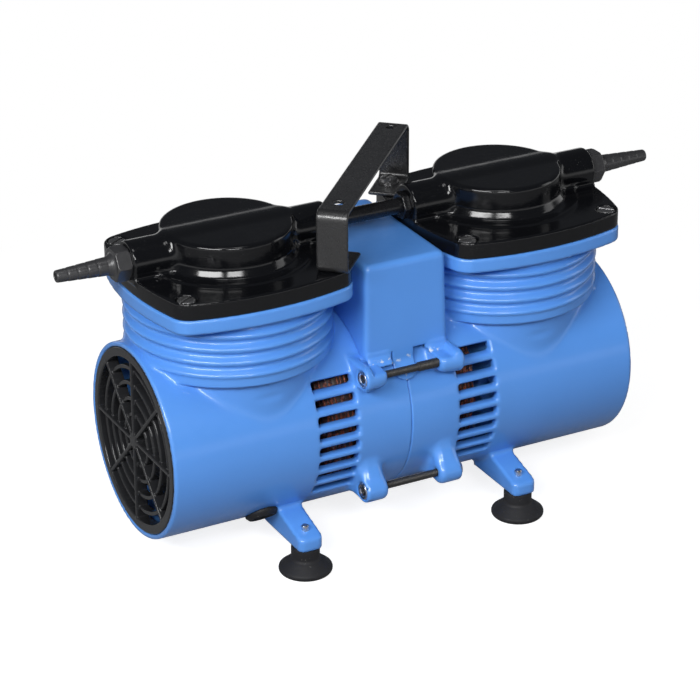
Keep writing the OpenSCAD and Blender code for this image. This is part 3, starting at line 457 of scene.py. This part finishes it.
def foot_field(x, y, z):
    """Rubber foot about the origin: a collar that flares into a bell with a thick rim."""
    r = np.hypot(x, y)
    heights = [0, 1.2, 2.2, 3.0, 3.6, 6.9, 7.4, 8.4, LEG_BOTTOM]
    radii = [13.3, 14.0, 14.1, 13.8, 13.0, 8.9, 8.1, 7.5, 7.5]
    reach = np.interp(z, heights, radii) * FOOT_R / max(radii)
    body = soft_max(r - reach, np.abs(z - LEG_BOTTOM / 2) - LEG_BOTTOM / 2, 0.9)
    recess = np.maximum(r - 8, z - 1.2)
    return soft_max(body, -recess, 0.5)


def plug_field(x, y, z):
    """Rubber plug in the left drum wall: shank, rim with a rolled edge and a dimple, cut back where the leg stands.
    It points out of the drum at a slant below the level, and its radius is taken about that line."""
    slant = math.radians(51.5)
    out = -y * math.cos(slant) - (z - AXIS) * math.sin(slant)
    r = np.hypot(x + BARREL - 0.9, -y * math.sin(slant) + (z - AXIS) * math.cos(slant))
    rim = soft_max(soft_max(r - 8.8, out - 53.9, 1.6), DRUM_R + 0.05 - np.hypot(y, z - AXIS), 0.2)
    roll = np.hypot(r - 6.6, out - 53.8) - 1.15
    dimple = np.hypot(r, out - 55.6) - 2.6
    shank = np.maximum(r - 7.1, np.abs(out - 50.5) - 3.0)
    body = np.minimum(soft_max(soft_min(rim, roll, 0.6), -dimple, 0.6), shank)
    leg_side = x + BARREL - 8.55
    return soft_max(body, leg_side, 0.4)


def wires(start, turns, strands, sides, steps, wire=0.62):
    """Strands of an end winding on both ends of the core, as tubes of a given number of sides.
    Strand k lies at angle phi = 2 pi k / strands + a slow wobble round an oval bundle, so its middle is at radius
    37 + 7.1 cos(phi) and at start + 11.4 sin(phi) along the shaft, but not nearer the middle than start - 10.4; the
    tube adds wire * (cos(psi), sin(psi))."""
    rng = np.random.default_rng(11)
    theta = np.linspace(0, 2 * math.pi, steps, endpoint=False)[None, None, :, None]
    psi = np.linspace(0, 2 * math.pi, sides, endpoint=False)[None, None, None, :]
    end = np.array([-1.0, 1.0])[:, None, None, None]
    phase = rng.uniform(0, 2 * math.pi, (2, strands, 1, 1))
    phi = 2 * math.pi * np.arange(strands)[None, :, None, None] / strands + 0.10 * np.sin(turns * theta + phase)
    lift = 1 + 0.05 * np.sin(3 * theta + phase)
    radius = 37 + 7.1 * np.cos(phi) * lift + wire * np.cos(psi)
    along = start + np.maximum(11.4 * np.sin(phi) * lift, -10.4) + 0.5 * np.cos(12 * theta) + wire * np.sin(psi)
    full = np.broadcast_arrays(end * along, radius * np.sin(theta), AXIS + radius * np.cos(theta))
    points = np.stack(full, -1).reshape(-1, 3)
    index = np.arange(2 * strands * steps * sides).reshape(2 * strands, steps, sides)
    ahead, beside = np.roll(index, -1, 1), np.roll(index, -1, 2)
    faces = np.stack([index, beside, np.roll(beside, -1, 1), ahead], -1).reshape(-1, 4)
    return points, faces


def threaded(y, z, start, end, sleeve, pitch=0.9, depth=0.13, sides=14):
    """A tie rod with a rolled thread: rings of points at radius ROD_R - depth + depth cos(2 pi x / pitch - psi) round
    its axis, a thicker sleeve between two stations, and both ends drawn in to a point."""
    x = np.arange(start, end, pitch / 5)
    psi = np.linspace(0, 2 * math.pi, sides, endpoint=False)
    thick = np.interp(x, [sleeve[0], sleeve[0] + 0.5, sleeve[1] - 0.5, sleeve[1]], [0, 0.5, 0.5, 0])
    r = ROD_R - depth + thick[:, None] + depth * np.cos(2 * math.pi * x[:, None] / pitch - psi)
    r[[0, -1]] = 0
    points = np.stack(np.broadcast_arrays(x[:, None], y + r * np.sin(psi), z + r * np.cos(psi)), -1).reshape(-1, 3)
    index = np.arange(x.size * sides).reshape(x.size, sides)
    beside = np.roll(index, -1, 1)
    return points, np.stack([index[:-1], index[1:], beside[1:], beside[:-1]], -1).reshape(-1, 4)


def bush(y, z, face, outward, sides=24):
    """A steel ring in the mouth of a lug: a closed profile of radius and depth carried round the rod's axis, with the
    point at angle psi at (face - outward depth, y + r sin psi, z + r cos psi)."""
    profile = np.array([(2.3, 1.9), (2.5, 0.9), (3.4, 0.25), (4.3, 0.0), (4.6, 0.3), (4.6, 1.9)])
    psi = np.linspace(0, 2 * math.pi, sides, endpoint=False)
    r, depth = profile[:, :1], profile[:, 1:]
    full = np.broadcast_arrays(face - outward * depth, y + outward * r * np.sin(psi), z + r * np.cos(psi))
    index = np.arange(len(profile) * sides).reshape(len(profile), sides)
    ahead, beside = np.roll(index, -1, 0), np.roll(index, -1, 1)
    return np.stack(full, -1).reshape(-1, 3), np.stack(
        [index, ahead, np.roll(ahead, -1, 1), beside], -1).reshape(-1, 4)


# Meshes

def piece_from(name, points, faces, material):
    """A mesh object at the origin, from points in millimetres and faces that all have as many corners."""
    mesh = bpy.data.meshes.new(name)
    faces = np.asarray(faces)
    size = faces.shape[1]
    mesh.vertices.add(len(points))
    mesh.vertices.foreach_set("co", (np.asarray(points) * MM).astype(np.float32).ravel())
    mesh.loops.add(faces.size)
    mesh.loops.foreach_set("vertex_index", faces.astype(np.int32).ravel())
    mesh.polygons.add(len(faces))
    mesh.polygons.foreach_set("loop_start", np.arange(0, faces.size, size, dtype=np.int32))
    mesh.update(calc_edges=True)
    mesh.validate()
    mesh.shade_smooth()
    mesh.materials.append(material)
    thing = bpy.data.objects.new(name, mesh)
    bpy.context.scene.collection.objects.link(thing)
    return thing


def dress(name, shape, material, slot, *stands_for):
    """A piece of the casing's body, that hides the nodes it stands for. The slot is not used."""
    thing = piece_from(name, *shape, material)
    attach(thing, "casing")
    if stands_for:
        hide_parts(*stands_for)


def half_turn(shape):
    """The same shape turned half a turn about the vertical, from the left end to the right."""
    return shape[0] * np.array([-1.0, -1.0, 1.0]), shape[1]


def both_ends(stem, shape, material, slot):
    """One shape as the left piece and, turned half a turn, as the right one."""
    for end, placed in (("left", shape), ("right", half_turn(shape))):
        dress(f"{stem}_{end}_skin", placed, material, slot, f"{stem}_{end}")


def turned(shape, angle, place):
    """A shape turned about its own vertical by an angle and then moved to a place."""
    spin = np.array([[math.cos(angle), math.sin(angle), 0], [-math.sin(angle), math.cos(angle), 0], [0, 0, 1]])
    return shape[0] @ spin + np.array(place), shape[1]


def joined(shapes):
    """Several shapes with faces of one size as one."""
    starts = np.cumsum([0] + [len(points) for points, _ in shapes[:-1]])
    return (np.concatenate([points for points, _ in shapes]),
            np.concatenate([faces + start for start, (_, faces) in zip(starts, shapes)]))


# Materials

def add(tree, kind, sockets=None, **settings):
    """A shader node with its settings; each socket gets a plain value or a link from another node's output."""
    node = tree.nodes.new("ShaderNode" + kind)
    for key, value in settings.items():
        setattr(node, key, value)
    for key, value in (sockets or {}).items():
        if isinstance(value, bpy.types.NodeSocket):
            tree.links.new(value, node.inputs[key])
        else:
            node.inputs[key].default_value = value
    return node


def calc(tree, operation, *values):
    """A Math node over one to three values."""
    return add(tree, "Math", dict(enumerate(values)), operation=operation)


def between(tree, value, zero, one):
    """A share of nought where a value is at its first limit and of one where it is at the second."""
    return add(tree, "MapRange", {"Value": value, "From Min": zero, "From Max": one})


def new_group(name, inputs, outputs):
    """An empty node group with named inputs (label, kind, default) and outputs (label, kind)."""
    tree = bpy.data.node_groups.new(name, "ShaderNodeTree")
    for label, kind, value in inputs:
        socket = tree.interface.new_socket(label, in_out="INPUT", socket_type="NodeSocket" + kind)
        if value is not None:
            socket.default_value = value
    for label, kind in outputs:
        tree.interface.new_socket(label, in_out="OUTPUT", socket_type="NodeSocket" + kind)
    return tree, tree.nodes.new("NodeGroupInput"), tree.nodes.new("NodeGroupOutput")


def grain_group():
    """Small-scale relief of a finish: two noises, coarse and fine, as a bent normal and as a mask."""
    tree, given, out = new_group("surface_grain", [
        ("Vector", "Vector", None), ("Scale", "Float", 400.0), ("Fine Share", "Float", 0.4),
        ("Strength", "Float", 0.1)], [("Normal", "Vector"), ("Mask", "Float")])
    coarse = add(tree, "TexNoise", {"Vector": given.outputs["Vector"], "Scale": given.outputs["Scale"],
                                    "Detail": 2.0})
    finer = calc(tree, "MULTIPLY", given.outputs["Scale"], 3.7)
    fine = add(tree, "TexNoise", {"Vector": given.outputs["Vector"], "Scale": finer.outputs[0], "Detail": 3.0})
    both = add(tree, "Mix", {"Factor": given.outputs["Fine Share"], "A": coarse.outputs["Fac"],
                             "B": fine.outputs["Fac"]})
    bump = add(tree, "Bump", {"Height": both.outputs["Result"], "Strength": given.outputs["Strength"],
                              "Distance": 0.0006})
    tree.links.new(bump.outputs["Normal"], out.inputs["Normal"])
    tree.links.new(both.outputs["Result"], out.inputs["Mask"])
    return tree


def drift_group():
    """Slow drift of a colour's brightness over the piece, with small specks of a second colour."""
    tree, given, out = new_group("colour_drift", [
        ("Vector", "Vector", None), ("Colour", "Color", (0.5, 0.5, 0.5, 1)), ("Speck Colour", "Color", (1, 1, 1, 1)),
        ("Scale", "Float", 25.0), ("Amount", "Float", 0.1), ("Specks", "Float", 0.1)], [("Colour", "Color")])
    slow = add(tree, "TexNoise", {"Vector": given.outputs["Vector"], "Scale": given.outputs["Scale"], "Detail": 4.0})
    centred = calc(tree, "SUBTRACT", slow.outputs["Fac"], 0.5)
    gain = calc(tree, "MULTIPLY", centred.outputs[0], given.outputs["Amount"])
    level = calc(tree, "ADD", gain.outputs[0], 1.0)
    shade = add(tree, "HueSaturation", {"Color": given.outputs["Colour"], "Value": level.outputs[0]})
    dots = add(tree, "TexVoronoi", {"Vector": given.outputs["Vector"], "Scale": 620.0})
    near = between(tree, dots.outputs["Distance"], 0.22, 0.08)
    patch = add(tree, "TexNoise", {"Vector": given.outputs["Vector"], "Scale": 140.0, "Detail": 2.0})
    rare = between(tree, patch.outputs["Fac"], 0.52, 0.72)
    chance = calc(tree, "MULTIPLY", near.outputs["Result"], rare.outputs["Result"])
    share = calc(tree, "MULTIPLY", chance.outputs[0], given.outputs["Specks"])
    mix = add(tree, "Mix", {"Factor": share.outputs[0], "A": shade.outputs["Color"],
                            "B": given.outputs["Speck Colour"]}, data_type="RGBA")
    tree.links.new(mix.outputs["Result"], out.inputs["Colour"])
    return tree


def scuff_group():
    """Mask of thin crossing scratches in patches: narrow bands of two stretched noises."""
    tree, given, out = new_group("scuffs", [
        ("Vector", "Vector", None), ("Scale", "Float", 60.0), ("Amount", "Float", 0.5)], [("Mask", "Float")])
    lines = []
    for turn in ((0.3, 0.2, 0.9), (1.1, 0.5, -0.6)):
        bent = add(tree, "Mapping", {"Vector": given.outputs["Vector"], "Rotation": turn, "Scale": (1.0, 14.0, 14.0)})
        noise = add(tree, "TexNoise", {"Vector": bent.outputs[0], "Scale": given.outputs["Scale"], "Detail": 1.0})
        off = calc(tree, "SUBTRACT", noise.outputs["Fac"], 0.62)
        size = calc(tree, "ABSOLUTE", off.outputs[0])
        lines.append(between(tree, size.outputs[0], 0.012, 0.0))
    either = calc(tree, "MAXIMUM", lines[0].outputs[0], lines[1].outputs[0])
    patch = add(tree, "TexNoise", {"Vector": given.outputs["Vector"], "Scale": 30.0, "Detail": 2.0})
    worn = between(tree, patch.outputs["Fac"], 0.48, 0.66)
    some = calc(tree, "MULTIPLY", either.outputs[0], worn.outputs[0])
    result = calc(tree, "MULTIPLY", some.outputs[0], given.outputs["Amount"])
    tree.links.new(result.outputs[0], out.inputs["Mask"])
    return tree


GRAIN, DRIFT, SCUFFS = grain_group(), drift_group(), scuff_group()


def finish(name, colour, roughness, *, spread=0.08, metallic=0.0, specular=0.5, drift=0.12, speck=(1, 1, 1),
           specks=0.0, grain=400.0, relief=0.1, fine=0.4, scuffs=0.0, coat=0.0, coat_roughness=0.1):
    """A finish with drifting colour, specks, uneven gloss, relief and scratches, all from Object coordinates."""
    material = bpy.data.materials.new(name)
    material.use_nodes = True
    tree = material.node_tree
    tree.nodes.clear()
    place = add(tree, "TexCoord")
    vector = place.outputs["Object"]
    relief_node = add(tree, "Group", node_tree=GRAIN)
    drift_node = add(tree, "Group", node_tree=DRIFT)
    scuff_node = add(tree, "Group", node_tree=SCUFFS)
    for node in (relief_node, drift_node, scuff_node):
        tree.links.new(vector, node.inputs["Vector"])
    relief_node.inputs["Scale"].default_value = grain
    relief_node.inputs["Strength"].default_value = relief
    relief_node.inputs["Fine Share"].default_value = fine
    drift_node.inputs["Colour"].default_value = (*colour, 1)
    drift_node.inputs["Speck Colour"].default_value = (*speck, 1)
    drift_node.inputs["Amount"].default_value = drift
    drift_node.inputs["Specks"].default_value = specks
    scuff_node.inputs["Amount"].default_value = scuffs
    gloss = add(tree, "MapRange", {"Value": relief_node.outputs["Mask"], "From Min": 0.3, "From Max": 0.7,
                                   "To Min": roughness - spread, "To Max": roughness + spread})
    worn = calc(tree, "MULTIPLY_ADD", scuff_node.outputs["Mask"], 0.25, gloss.outputs[0])
    pale = add(tree, "Mix", {"Factor": scuff_node.outputs["Mask"], "A": drift_node.outputs["Colour"],
                             "B": (*[0.5 * c + 0.12 for c in colour], 1)}, data_type="RGBA")
    shader = add(tree, "BsdfPrincipled", {
        "Base Color": pale.outputs["Result"], "Roughness": worn.outputs[0], "Metallic": metallic,
        "Specular IOR Level": specular, "Coat Weight": coat, "Coat Roughness": coat_roughness,
        "Normal": relief_node.outputs["Normal"]})
    out = add(tree, "OutputMaterial", {"Surface": shader.outputs[0]})
    return material, tree, shader, out


def chipped_enamel():
    """Enamel of the terminal box, with paint chipped off in small pale flecks along the lips and the tongue's end."""
    material, tree, shader, _ = finish("box_enamel", ENAMEL, 0.36, drift=0.10, speck=ENAMEL_DUST, specks=0.1,
                                       grain=260.0, relief=0.03, coat=0.25, coat_roughness=0.12)
    place = add(tree, "TexCoord")
    parts = add(tree, "SeparateXYZ", {"Vector": place.outputs["Object"]})
    lip_edge, tongue_end, tongue_clear = (BOX_FLOOR - 0.7) * MM, 93.5 * MM, 96.0 * MM
    off = calc(tree, "SUBTRACT", parts.outputs["Z"], lip_edge)
    away = calc(tree, "ABSOLUTE", off.outputs[0])
    near = between(tree, away.outputs[0], 0.0024, 0.0008)
    noise = add(tree, "TexNoise", {"Vector": place.outputs["Object"], "Scale": 420.0, "Detail": 3.0})
    fleck = between(tree, noise.outputs["Fac"], 0.60, 0.66)
    bottom = between(tree, parts.outputs["Z"], tongue_clear, tongue_end)
    worn = calc(tree, "MAXIMUM", near.outputs[0], bottom.outputs[0])
    share = calc(tree, "MULTIPLY", worn.outputs[0], fleck.outputs[0])
    before = shader.inputs["Base Color"].links[0].from_socket
    primer = (0.62, 0.68, 0.72, 1)
    bare = add(tree, "Mix", {"Factor": share.outputs[0], "A": before, "B": primer}, data_type="RGBA")
    tree.links.new(bare.outputs["Result"], shader.inputs["Base Color"])
    return material


def laminated():
    """Stator iron: thin plates side by side along the shaft."""
    material, tree, shader, _ = finish("core_plates", (0.16, 0.15, 0.14), 0.45, metallic=0.9, grain=300.0)
    place = add(tree, "TexCoord")
    plates = add(tree, "TexWave", {"Vector": place.outputs["Object"], "Scale": 320.0})
    bump = add(tree, "Bump", {"Height": plates.outputs["Fac"], "Distance": 0.0002, "Strength": 0.5})
    tree.links.new(bump.outputs[0], shader.inputs["Normal"])
    return material


def mottled_windings():
    """Varnished copper wire: blotches of a noise that run from near black through red-brown to pale."""
    material, tree, shader, _ = finish("wound_copper", (0.2, 0.06, 0.03), 0.42, metallic=0.3, grain=500.0, relief=0.3)
    place = add(tree, "TexCoord")
    blotch = add(tree, "TexNoise", {"Vector": place.outputs["Object"], "Scale": 330.0, "Detail": 4.0,
                                    "Roughness": 0.7})
    ramp = add(tree, "ValToRGB", {"Fac": blotch.outputs["Fac"]})
    stops = ((0.40, (0.006, 0.005, 0.005)), (0.48, (0.10, 0.022, 0.012)), (0.54, (0.34, 0.085, 0.035)),
             (0.60, (0.08, 0.05, 0.045)), (0.68, (0.42, 0.36, 0.32)))
    elements = ramp.color_ramp.elements
    for position, _ in stops[2:]:
        elements.new(position)
    for element, (position, colour) in zip(elements, stops):
        element.position = position
        element.color = (*colour, 1)
    tree.links.new(ramp.outputs["Color"], shader.inputs["Base Color"])
    return material


ENAMEL, ENAMEL_DUST = (0.094, 0.300, 0.79), (0.25, 0.5, 0.9)
enamel = finish("blue_enamel", ENAMEL, 0.36, drift=0.10, speck=ENAMEL_DUST, specks=0.2, grain=260.0, relief=0.05,
                coat=0.45, coat_roughness=0.08)[0]
box_enamel = chipped_enamel()
head_black = finish("head_black", (0.0042, 0.0045, 0.0056), 0.14, spread=0.04, specular=0.38, drift=0.4,
                    speck=(0.06, 0.06, 0.06), specks=0.5, grain=190.0, relief=0.10, fine=0.15, scuffs=0.1)[0]
powder = finish("powder_black", (0.016, 0.016, 0.017), 0.31, specular=0.75, drift=0.3, speck=(0.05, 0.05, 0.05),
                specks=0.4, grain=900.0, relief=0.20, scuffs=0.35)[0]
plastic = finish("dark_plastic", (0.019, 0.0195, 0.0215), 0.17, specular=0.36, drift=0.4, speck=(0.06, 0.06, 0.06),
                 specks=0.4, grain=700.0, relief=0.12, scuffs=0.25)[0]
tail_plastic = finish("tail_plastic", (0.031, 0.031, 0.033), 0.35, specular=0.65, drift=0.5, speck=(0.1, 0.1, 0.1),
                      specks=0.4, grain=500.0, relief=0.12, scuffs=0.3)[0]
tube_plastic = finish("tube_plastic", (0.008, 0.008, 0.009), 0.28, specular=0.45, drift=0.5, speck=(0.1, 0.1, 0.1),
                      specks=0.3, grain=300.0, relief=0.08, scuffs=0.3)[0]
rubber = finish("rubber", (0.016, 0.016, 0.018), 0.60, specular=0.3, drift=1.3, speck=(0.14, 0.14, 0.13), specks=0.9,
                grain=350.0, relief=0.3, scuffs=0.5)[0]
steel = finish("steel", (0.66, 0.66, 0.66), 0.24, metallic=1.0, drift=0.2, grain=350.0, relief=0.08, scuffs=0.3)[0]
dark_steel = finish("dark_steel", (0.050, 0.048, 0.046), 0.42, metallic=0.6, drift=0.8, speck=(0.12, 0.11, 0.10),
                    specks=0.5, grain=600.0, relief=0.3, fine=0.6, scuffs=0.3)[0]
# Screw heads: base lifted to a grey metal and strewn with pale specks, partly wear on the heads, partly painted glints
# standing in for their bright rims
black_screw = finish("black_screw", (0.20, 0.20, 0.204), 0.22, metallic=0.8, drift=0.9, speck=(0.5, 0.5, 0.5),
                     specks=0.6, grain=500.0, relief=0.08, scuffs=0.6)[0]
copper = mottled_windings()
varnish = finish("winding_varnish", (0.035, 0.016, 0.010), 0.5, drift=0.8, grain=500.0, relief=0.5)[0]
pale = finish("pale_plastic", (0.72, 0.69, 0.60), 0.45, grain=500.0)[0]
iron = finish("cast_iron", (0.20, 0.20, 0.20), 0.55, metallic=0.8, drift=0.5, grain=450.0, relief=0.5)[0]
aluminium = finish("cast_aluminium", (0.62, 0.62, 0.63), 0.42, metallic=1.0, drift=0.3, grain=500.0, relief=0.3)[0]
can = finish("capacitor_can", (0.68, 0.68, 0.69), 0.30, metallic=1.0, grain=300.0, relief=0.05, scuffs=0.4)[0]
gasket = finish("gasket_fibre", (0.06, 0.055, 0.045), 0.8, drift=0.8, grain=800.0, relief=0.4)[0]
plates = laminated()

BY_SLOT = {
    "enamel": enamel, "head_black": head_black, "powder_black": powder, "plastic": plastic, "rubber": rubber,
    "steel": steel, "dark_steel": dark_steel, "black_screw": black_screw, "copper": varnish, "pale_plastic": pale,
    "core_steel": plates, "cast_iron": iron, "cast_aluminium": aluminium, "capacitor_can": can, "gasket": gasket,
}
for part in frame["record"]["subparts"]:
    thing = nodes[part["node"]]
    thing.data.materials.clear()
    thing.data.materials.append(BY_SLOT[part["material_slot"]])
nodes["link_tube"].data.materials[0] = tube_plastic

# Shaped pieces

casing = skin(
    casing_field,
    spans((-DRUM_END - 1.6, 1.2), (-126, 1.8), (-58, 1.12), (-13, 1.8), (-2.5, 0.5), (1.0, 1)),
    even(-63.2, 63.2, 1.38),
    spans((13.4, 1.3), (107.5, 0.55), (112.5, 1.0), (146, 1.1), (153.4, 1)),
)
both_ends("casing", casing, enamel, "enamel")
head = skin(head_field, even(-BARREL - 57.2, -BARREL + 57.2, 0.85), even(-57.2, 57.2, 0.85),
            even(FLANGE_TOP - 0.9, CAP_TOP + 1.1, 0.75))
both_ends("cylinder_head", head, head_black, "head_black")
grille = skin(grille_field, even(-DRUM_END - 0.8, -DRUM_END + 8.2, 0.55), even(-50.4, 50.4, 0.55),
              even(AXIS - 50.4, AXIS + 50.4, 0.55))
both_ends("grille", grille, plastic, "plastic")
cover = skin(cover_field, spans((-24.4, 0.8), (-8, 0.55), (16, 0.8), (28, 1)),
             spans((-50, 0.6), (-38, 1.0), (38, 0.6), (50, 1)), spans((91, 0.6), (112, 0.9), (BOX_TOP + 1.4, 1)))
dress("terminal_box_skin", cover, box_enamel, "enamel", "terminal_box_cover")
tail = skin(tail_field, even(-TAIL_TIP - 0.6, -BARREL - 54.2, 0.3), even(-10.2, 10.2, 0.5),
            even(PORT_AXIS - 10.2, PORT_AXIS + 10.2, 0.5))
both_ends("hose_tail", tail, tail_plastic, "plastic")
nut = skin(nut_field, even(-25.4, -18.2, 0.4), even(-9, 9, 0.4), even(PORT_AXIS - 9, PORT_AXIS + 9, 0.4))
both_ends("tube_nut", nut, tube_plastic, "plastic")
strap = skin(strap_field, even(-HANDLE_HALF - 1.2, HANDLE_HALF + 1.2, 0.6), even(-9.4, 9.4, 0.6),
             even(HEAD_TOP - 1, HANDLE_TOP + 1, 0.5))
dress("carry_handle_skin", turned(strap, HANDLE_TURN, (0, 0, 0)), powder, "powder_black", "carry_handle")
foot = skin(foot_field, even(-15.2, 15.2, 0.6), even(-15.2, 15.2, 0.6), even(-0.6, LEG_BOTTOM + 0.6, 0.55))
for x_name, x in (("left", -FOOT_X), ("right", FOOT_X)):
    for y_name, y in (("front", -FOOT_Y), ("rear", FOOT_Y)):
        name = f"foot_{y_name}_{x_name}"
        dress(f"{name}_skin", turned(foot, 0, (x, y, 0)), rubber, "rubber", name)
plug = skin(plug_field, even(-BARREL - 9.4, -BARREL + 10.4, 0.5), even(-46, -19, 0.5), even(17, 38, 0.5))
both_ends("access_plug", plug, rubber, "rubber")
screw = skin(screw_field, even(-5.4, 5.4, 0.36), even(-5.4, 5.4, 0.36), even(-5, 3.6, 0.36))
slot_turns = np.random.default_rng(5).uniform(-0.9, 0.9, (2, 3))
for end, sign, turns in (("left", -1, slot_turns[0]), ("right", 1, slot_turns[1])):
    corners = [(BARREL + a * SCREW_OFFSET, b * SCREW_OFFSET) for a, b in ((1, 1), (1, -1), (-1, -1))]
    screws = joined([turned(screw, angle, (sign * x, sign * y, HEAD_TOP - 2.9))
                     for angle, (x, y) in zip(turns, corners)])
    dress(f"head_screws_{end}_skin", screws, black_screw, "black_screw", f"head_screws_{end}")
dress("winding_strands", wires(33.0, 5, 46, 5, 120), copper, "copper")
rod_start, rod_end = low("tie_rods")[0] + 0.2, high("tie_rods")[0] - 0.1
no_sleeve = (40, 41)
rods = [threaded(side * ROD_SIDE, AXIS + rise, rod_start, rod_end, sleeve)
        for side, rise, sleeve in ((-1, ROD_RISE, (3, 16)), (1, ROD_RISE, (-16, -3)),
                                   (-1, -ROD_RISE, no_sleeve), (1, -ROD_RISE, no_sleeve))]
dress("tie_rod_threads", joined(rods), dark_steel, "dark_steel", "tie_rods")
bushes = [bush(side * ROD_SIDE, AXIS + rise, end * (LUG_OUT - 0.1 - SEAM_SHIFT * (side == -end)), end)
          for end in (-1, 1) for side in (-1, 1) for rise in (-ROD_RISE, ROD_RISE) if rise < 0 or side == end]
dress("lug_bushes", joined(bushes), steel, "steel")

# Stage: pale floor, lamps and the camera of the photograph

CAMERA_PLACE = Vector((-0.6271, -1.16815, 0.7122))
CAMERA_AZIMUTH, CAMERA_ELEVATION, CAMERA_ROLL = 27.89, 25.171, -0.289
LENS = 142.26


def aim(azimuth, elevation, roll=0.0):
    """Rotation of a camera that looks along an azimuth from +Y towards +X and down by an elevation, in degrees."""
    a, e, t = (math.radians(v) for v in (azimuth, elevation, roll))
    forward = Vector((math.sin(a) * math.cos(e), math.cos(a) * math.cos(e), -math.sin(e)))
    right = Vector((math.cos(a), -math.sin(a), 0))
    above = right.cross(forward)
    rolled_right = right * math.cos(t) + above * math.sin(t)
    rolled_above = above * math.cos(t) - right * math.sin(t)
    return Matrix((rolled_right, rolled_above, -forward)).transposed()


camera_data = bpy.data.cameras.new("photo_camera")
camera_data.lens = LENS
camera_data.sensor_width = 36
camera_data.clip_start, camera_data.clip_end = 0.05, 50
camera = bpy.data.objects.new("photo_camera", camera_data)
camera.matrix_world = Matrix.Translation(CAMERA_PLACE) @ aim(
    CAMERA_AZIMUTH, CAMERA_ELEVATION, CAMERA_ROLL).to_4x4()
bpy.context.scene.collection.objects.link(camera)
bpy.context.scene.camera = camera


def softbox(name, place, target, width, height, power):
    """A rectangular area lamp at a place, turned to a target."""
    data = bpy.data.lights.new(name, "AREA")
    data.shape = "RECTANGLE"
    data.size, data.size_y, data.energy = width, height, power
    lamp = bpy.data.objects.new(name, data)
    lamp.location = place
    lamp.rotation_euler = (Vector(target) - Vector(place)).to_track_quat("-Z", "Y").to_euler()
    bpy.context.scene.collection.objects.link(lamp)


def around(azimuth, reach, height):
    """A place round the object: azimuth in degrees from -Y towards -X, reach and height in metres."""
    a = math.radians(azimuth)
    return -reach * math.sin(a), -reach * math.cos(a), height


softbox("key_left", around(56, 1.47, 1.05), (-0.02, 0, 0.08), 1.0, 0.32, 23.5)
softbox("key_right", around(15, 1.47, 1.05), (-0.02, 0, 0.08), 0.6, 0.26, 9.5)
softbox("top_near", (-0.33, -0.30, 1.45), (-0.05, 0, 0.15), 0.26, 0.30, 1.2)
softbox("top_far", (0.05, -0.30, 1.45), (-0.05, 0, 0.15), 0.26, 0.30, 1.2)
softbox("right", around(-71, 1.58, 0.6), (0.05, 0, 0.08), 0.5, 0.9, 2.5)


def studio_world():
    """Dim bluish grey to the light, white to the eye and through glass, and white near the horizon in reflections."""
    world = bpy.data.worlds.new("studio")
    world.use_nodes = True
    tree = world.node_tree
    dim = tree.nodes["Background"]
    dim.inputs["Color"].default_value = (0.85, 0.9, 1.0, 1)
    dim.inputs["Strength"].default_value = 0.08
    white = add(tree, "Background", {"Color": (1, 1, 1, 1), "Strength": 1.0})
    upward = add(tree, "SeparateXYZ", {"Vector": add(tree, "TexCoord").outputs["Generated"]})
    horizon = between(tree, upward.outputs["Z"], 0.15, 0.03)
    ray = add(tree, "LightPath")
    mirrored = calc(tree, "MULTIPLY", ray.outputs["Is Glossy Ray"], horizon.outputs[0])
    seen = calc(tree, "MAXIMUM", ray.outputs["Is Camera Ray"], ray.outputs["Is Transmission Ray"])
    share = calc(tree, "MAXIMUM", seen.outputs[0], mirrored.outputs[0])
    mix = add(tree, "MixShader", {0: share.outputs[0], 1: dim.outputs[0], 2: white.outputs[0]})
    tree.links.new(mix.outputs[0], tree.nodes["World Output"].inputs["Surface"])
    return world


bpy.context.scene.world = studio_world()


def floor_material():
    """Grey to the light that reaches the object and near white to the eye, with a trace of the shadow left in it.
    Reflections see it dull grey near the object and white further out."""
    material, tree, shader, out = finish("pale_floor", (0.30, 0.30, 0.30), 0.9, drift=0.05, relief=0.02)
    glow = add(tree, "Emission", {"Color": (1, 1, 1, 1), "Strength": 1.0})
    lift = add(tree, "Emission", {"Color": (1, 1, 1, 1), "Strength": 0.7})
    lit = add(tree, "BsdfDiffuse", {"Color": (0.9, 0.9, 0.9, 1)})
    dull = add(tree, "BsdfDiffuse", {"Color": (0.35, 0.35, 0.35, 1)})
    lifted = add(tree, "AddShader", {0: lit.outputs[0], 1: lift.outputs[0]})
    place = add(tree, "TexCoord")
    reach = add(tree, "VectorMath", {"Vector": place.outputs["Object"]}, operation="LENGTH")
    shadow_edge, shadow_full, shadow_share = 0.42, 0.17, 0.6
    near = between(tree, reach.outputs["Value"], shadow_edge, shadow_full)
    some = calc(tree, "MULTIPLY", near.outputs[0], shadow_share)
    eye = add(tree, "MixShader", {0: some.outputs[0], 1: glow.outputs[0], 2: lifted.outputs[0]})
    wide = between(tree, reach.outputs["Value"], 1.8, 0.8)
    mirrored = add(tree, "MixShader", {0: wide.outputs[0], 1: glow.outputs[0], 2: dull.outputs[0]})
    ray = add(tree, "LightPath")
    seen = add(tree, "MixShader", {0: ray.outputs["Is Glossy Ray"], 1: eye.outputs[0], 2: mirrored.outputs[0]})
    either = calc(tree, "MAXIMUM", ray.outputs["Is Camera Ray"], ray.outputs["Is Glossy Ray"])
    any_of = calc(tree, "MAXIMUM", either.outputs[0], ray.outputs["Is Transmission Ray"])
    mix = add(tree, "MixShader", {0: any_of.outputs[0], 1: shader.outputs[0], 2: seen.outputs[0]})
    tree.links.new(mix.outputs[0], out.inputs["Surface"])
    return material


FLOOR_REACH, FLOOR_DROP = 4000, -0.2
floor_points = np.array([(a * FLOOR_REACH, b * FLOOR_REACH, FLOOR_DROP)
                         for a, b in ((-1, -1), (1, -1), (1, 1), (-1, 1))])
piece_from("floor", floor_points, [[0, 1, 2, 3]], floor_material())

bpy.context.scene.view_settings.view_transform = "Standard"
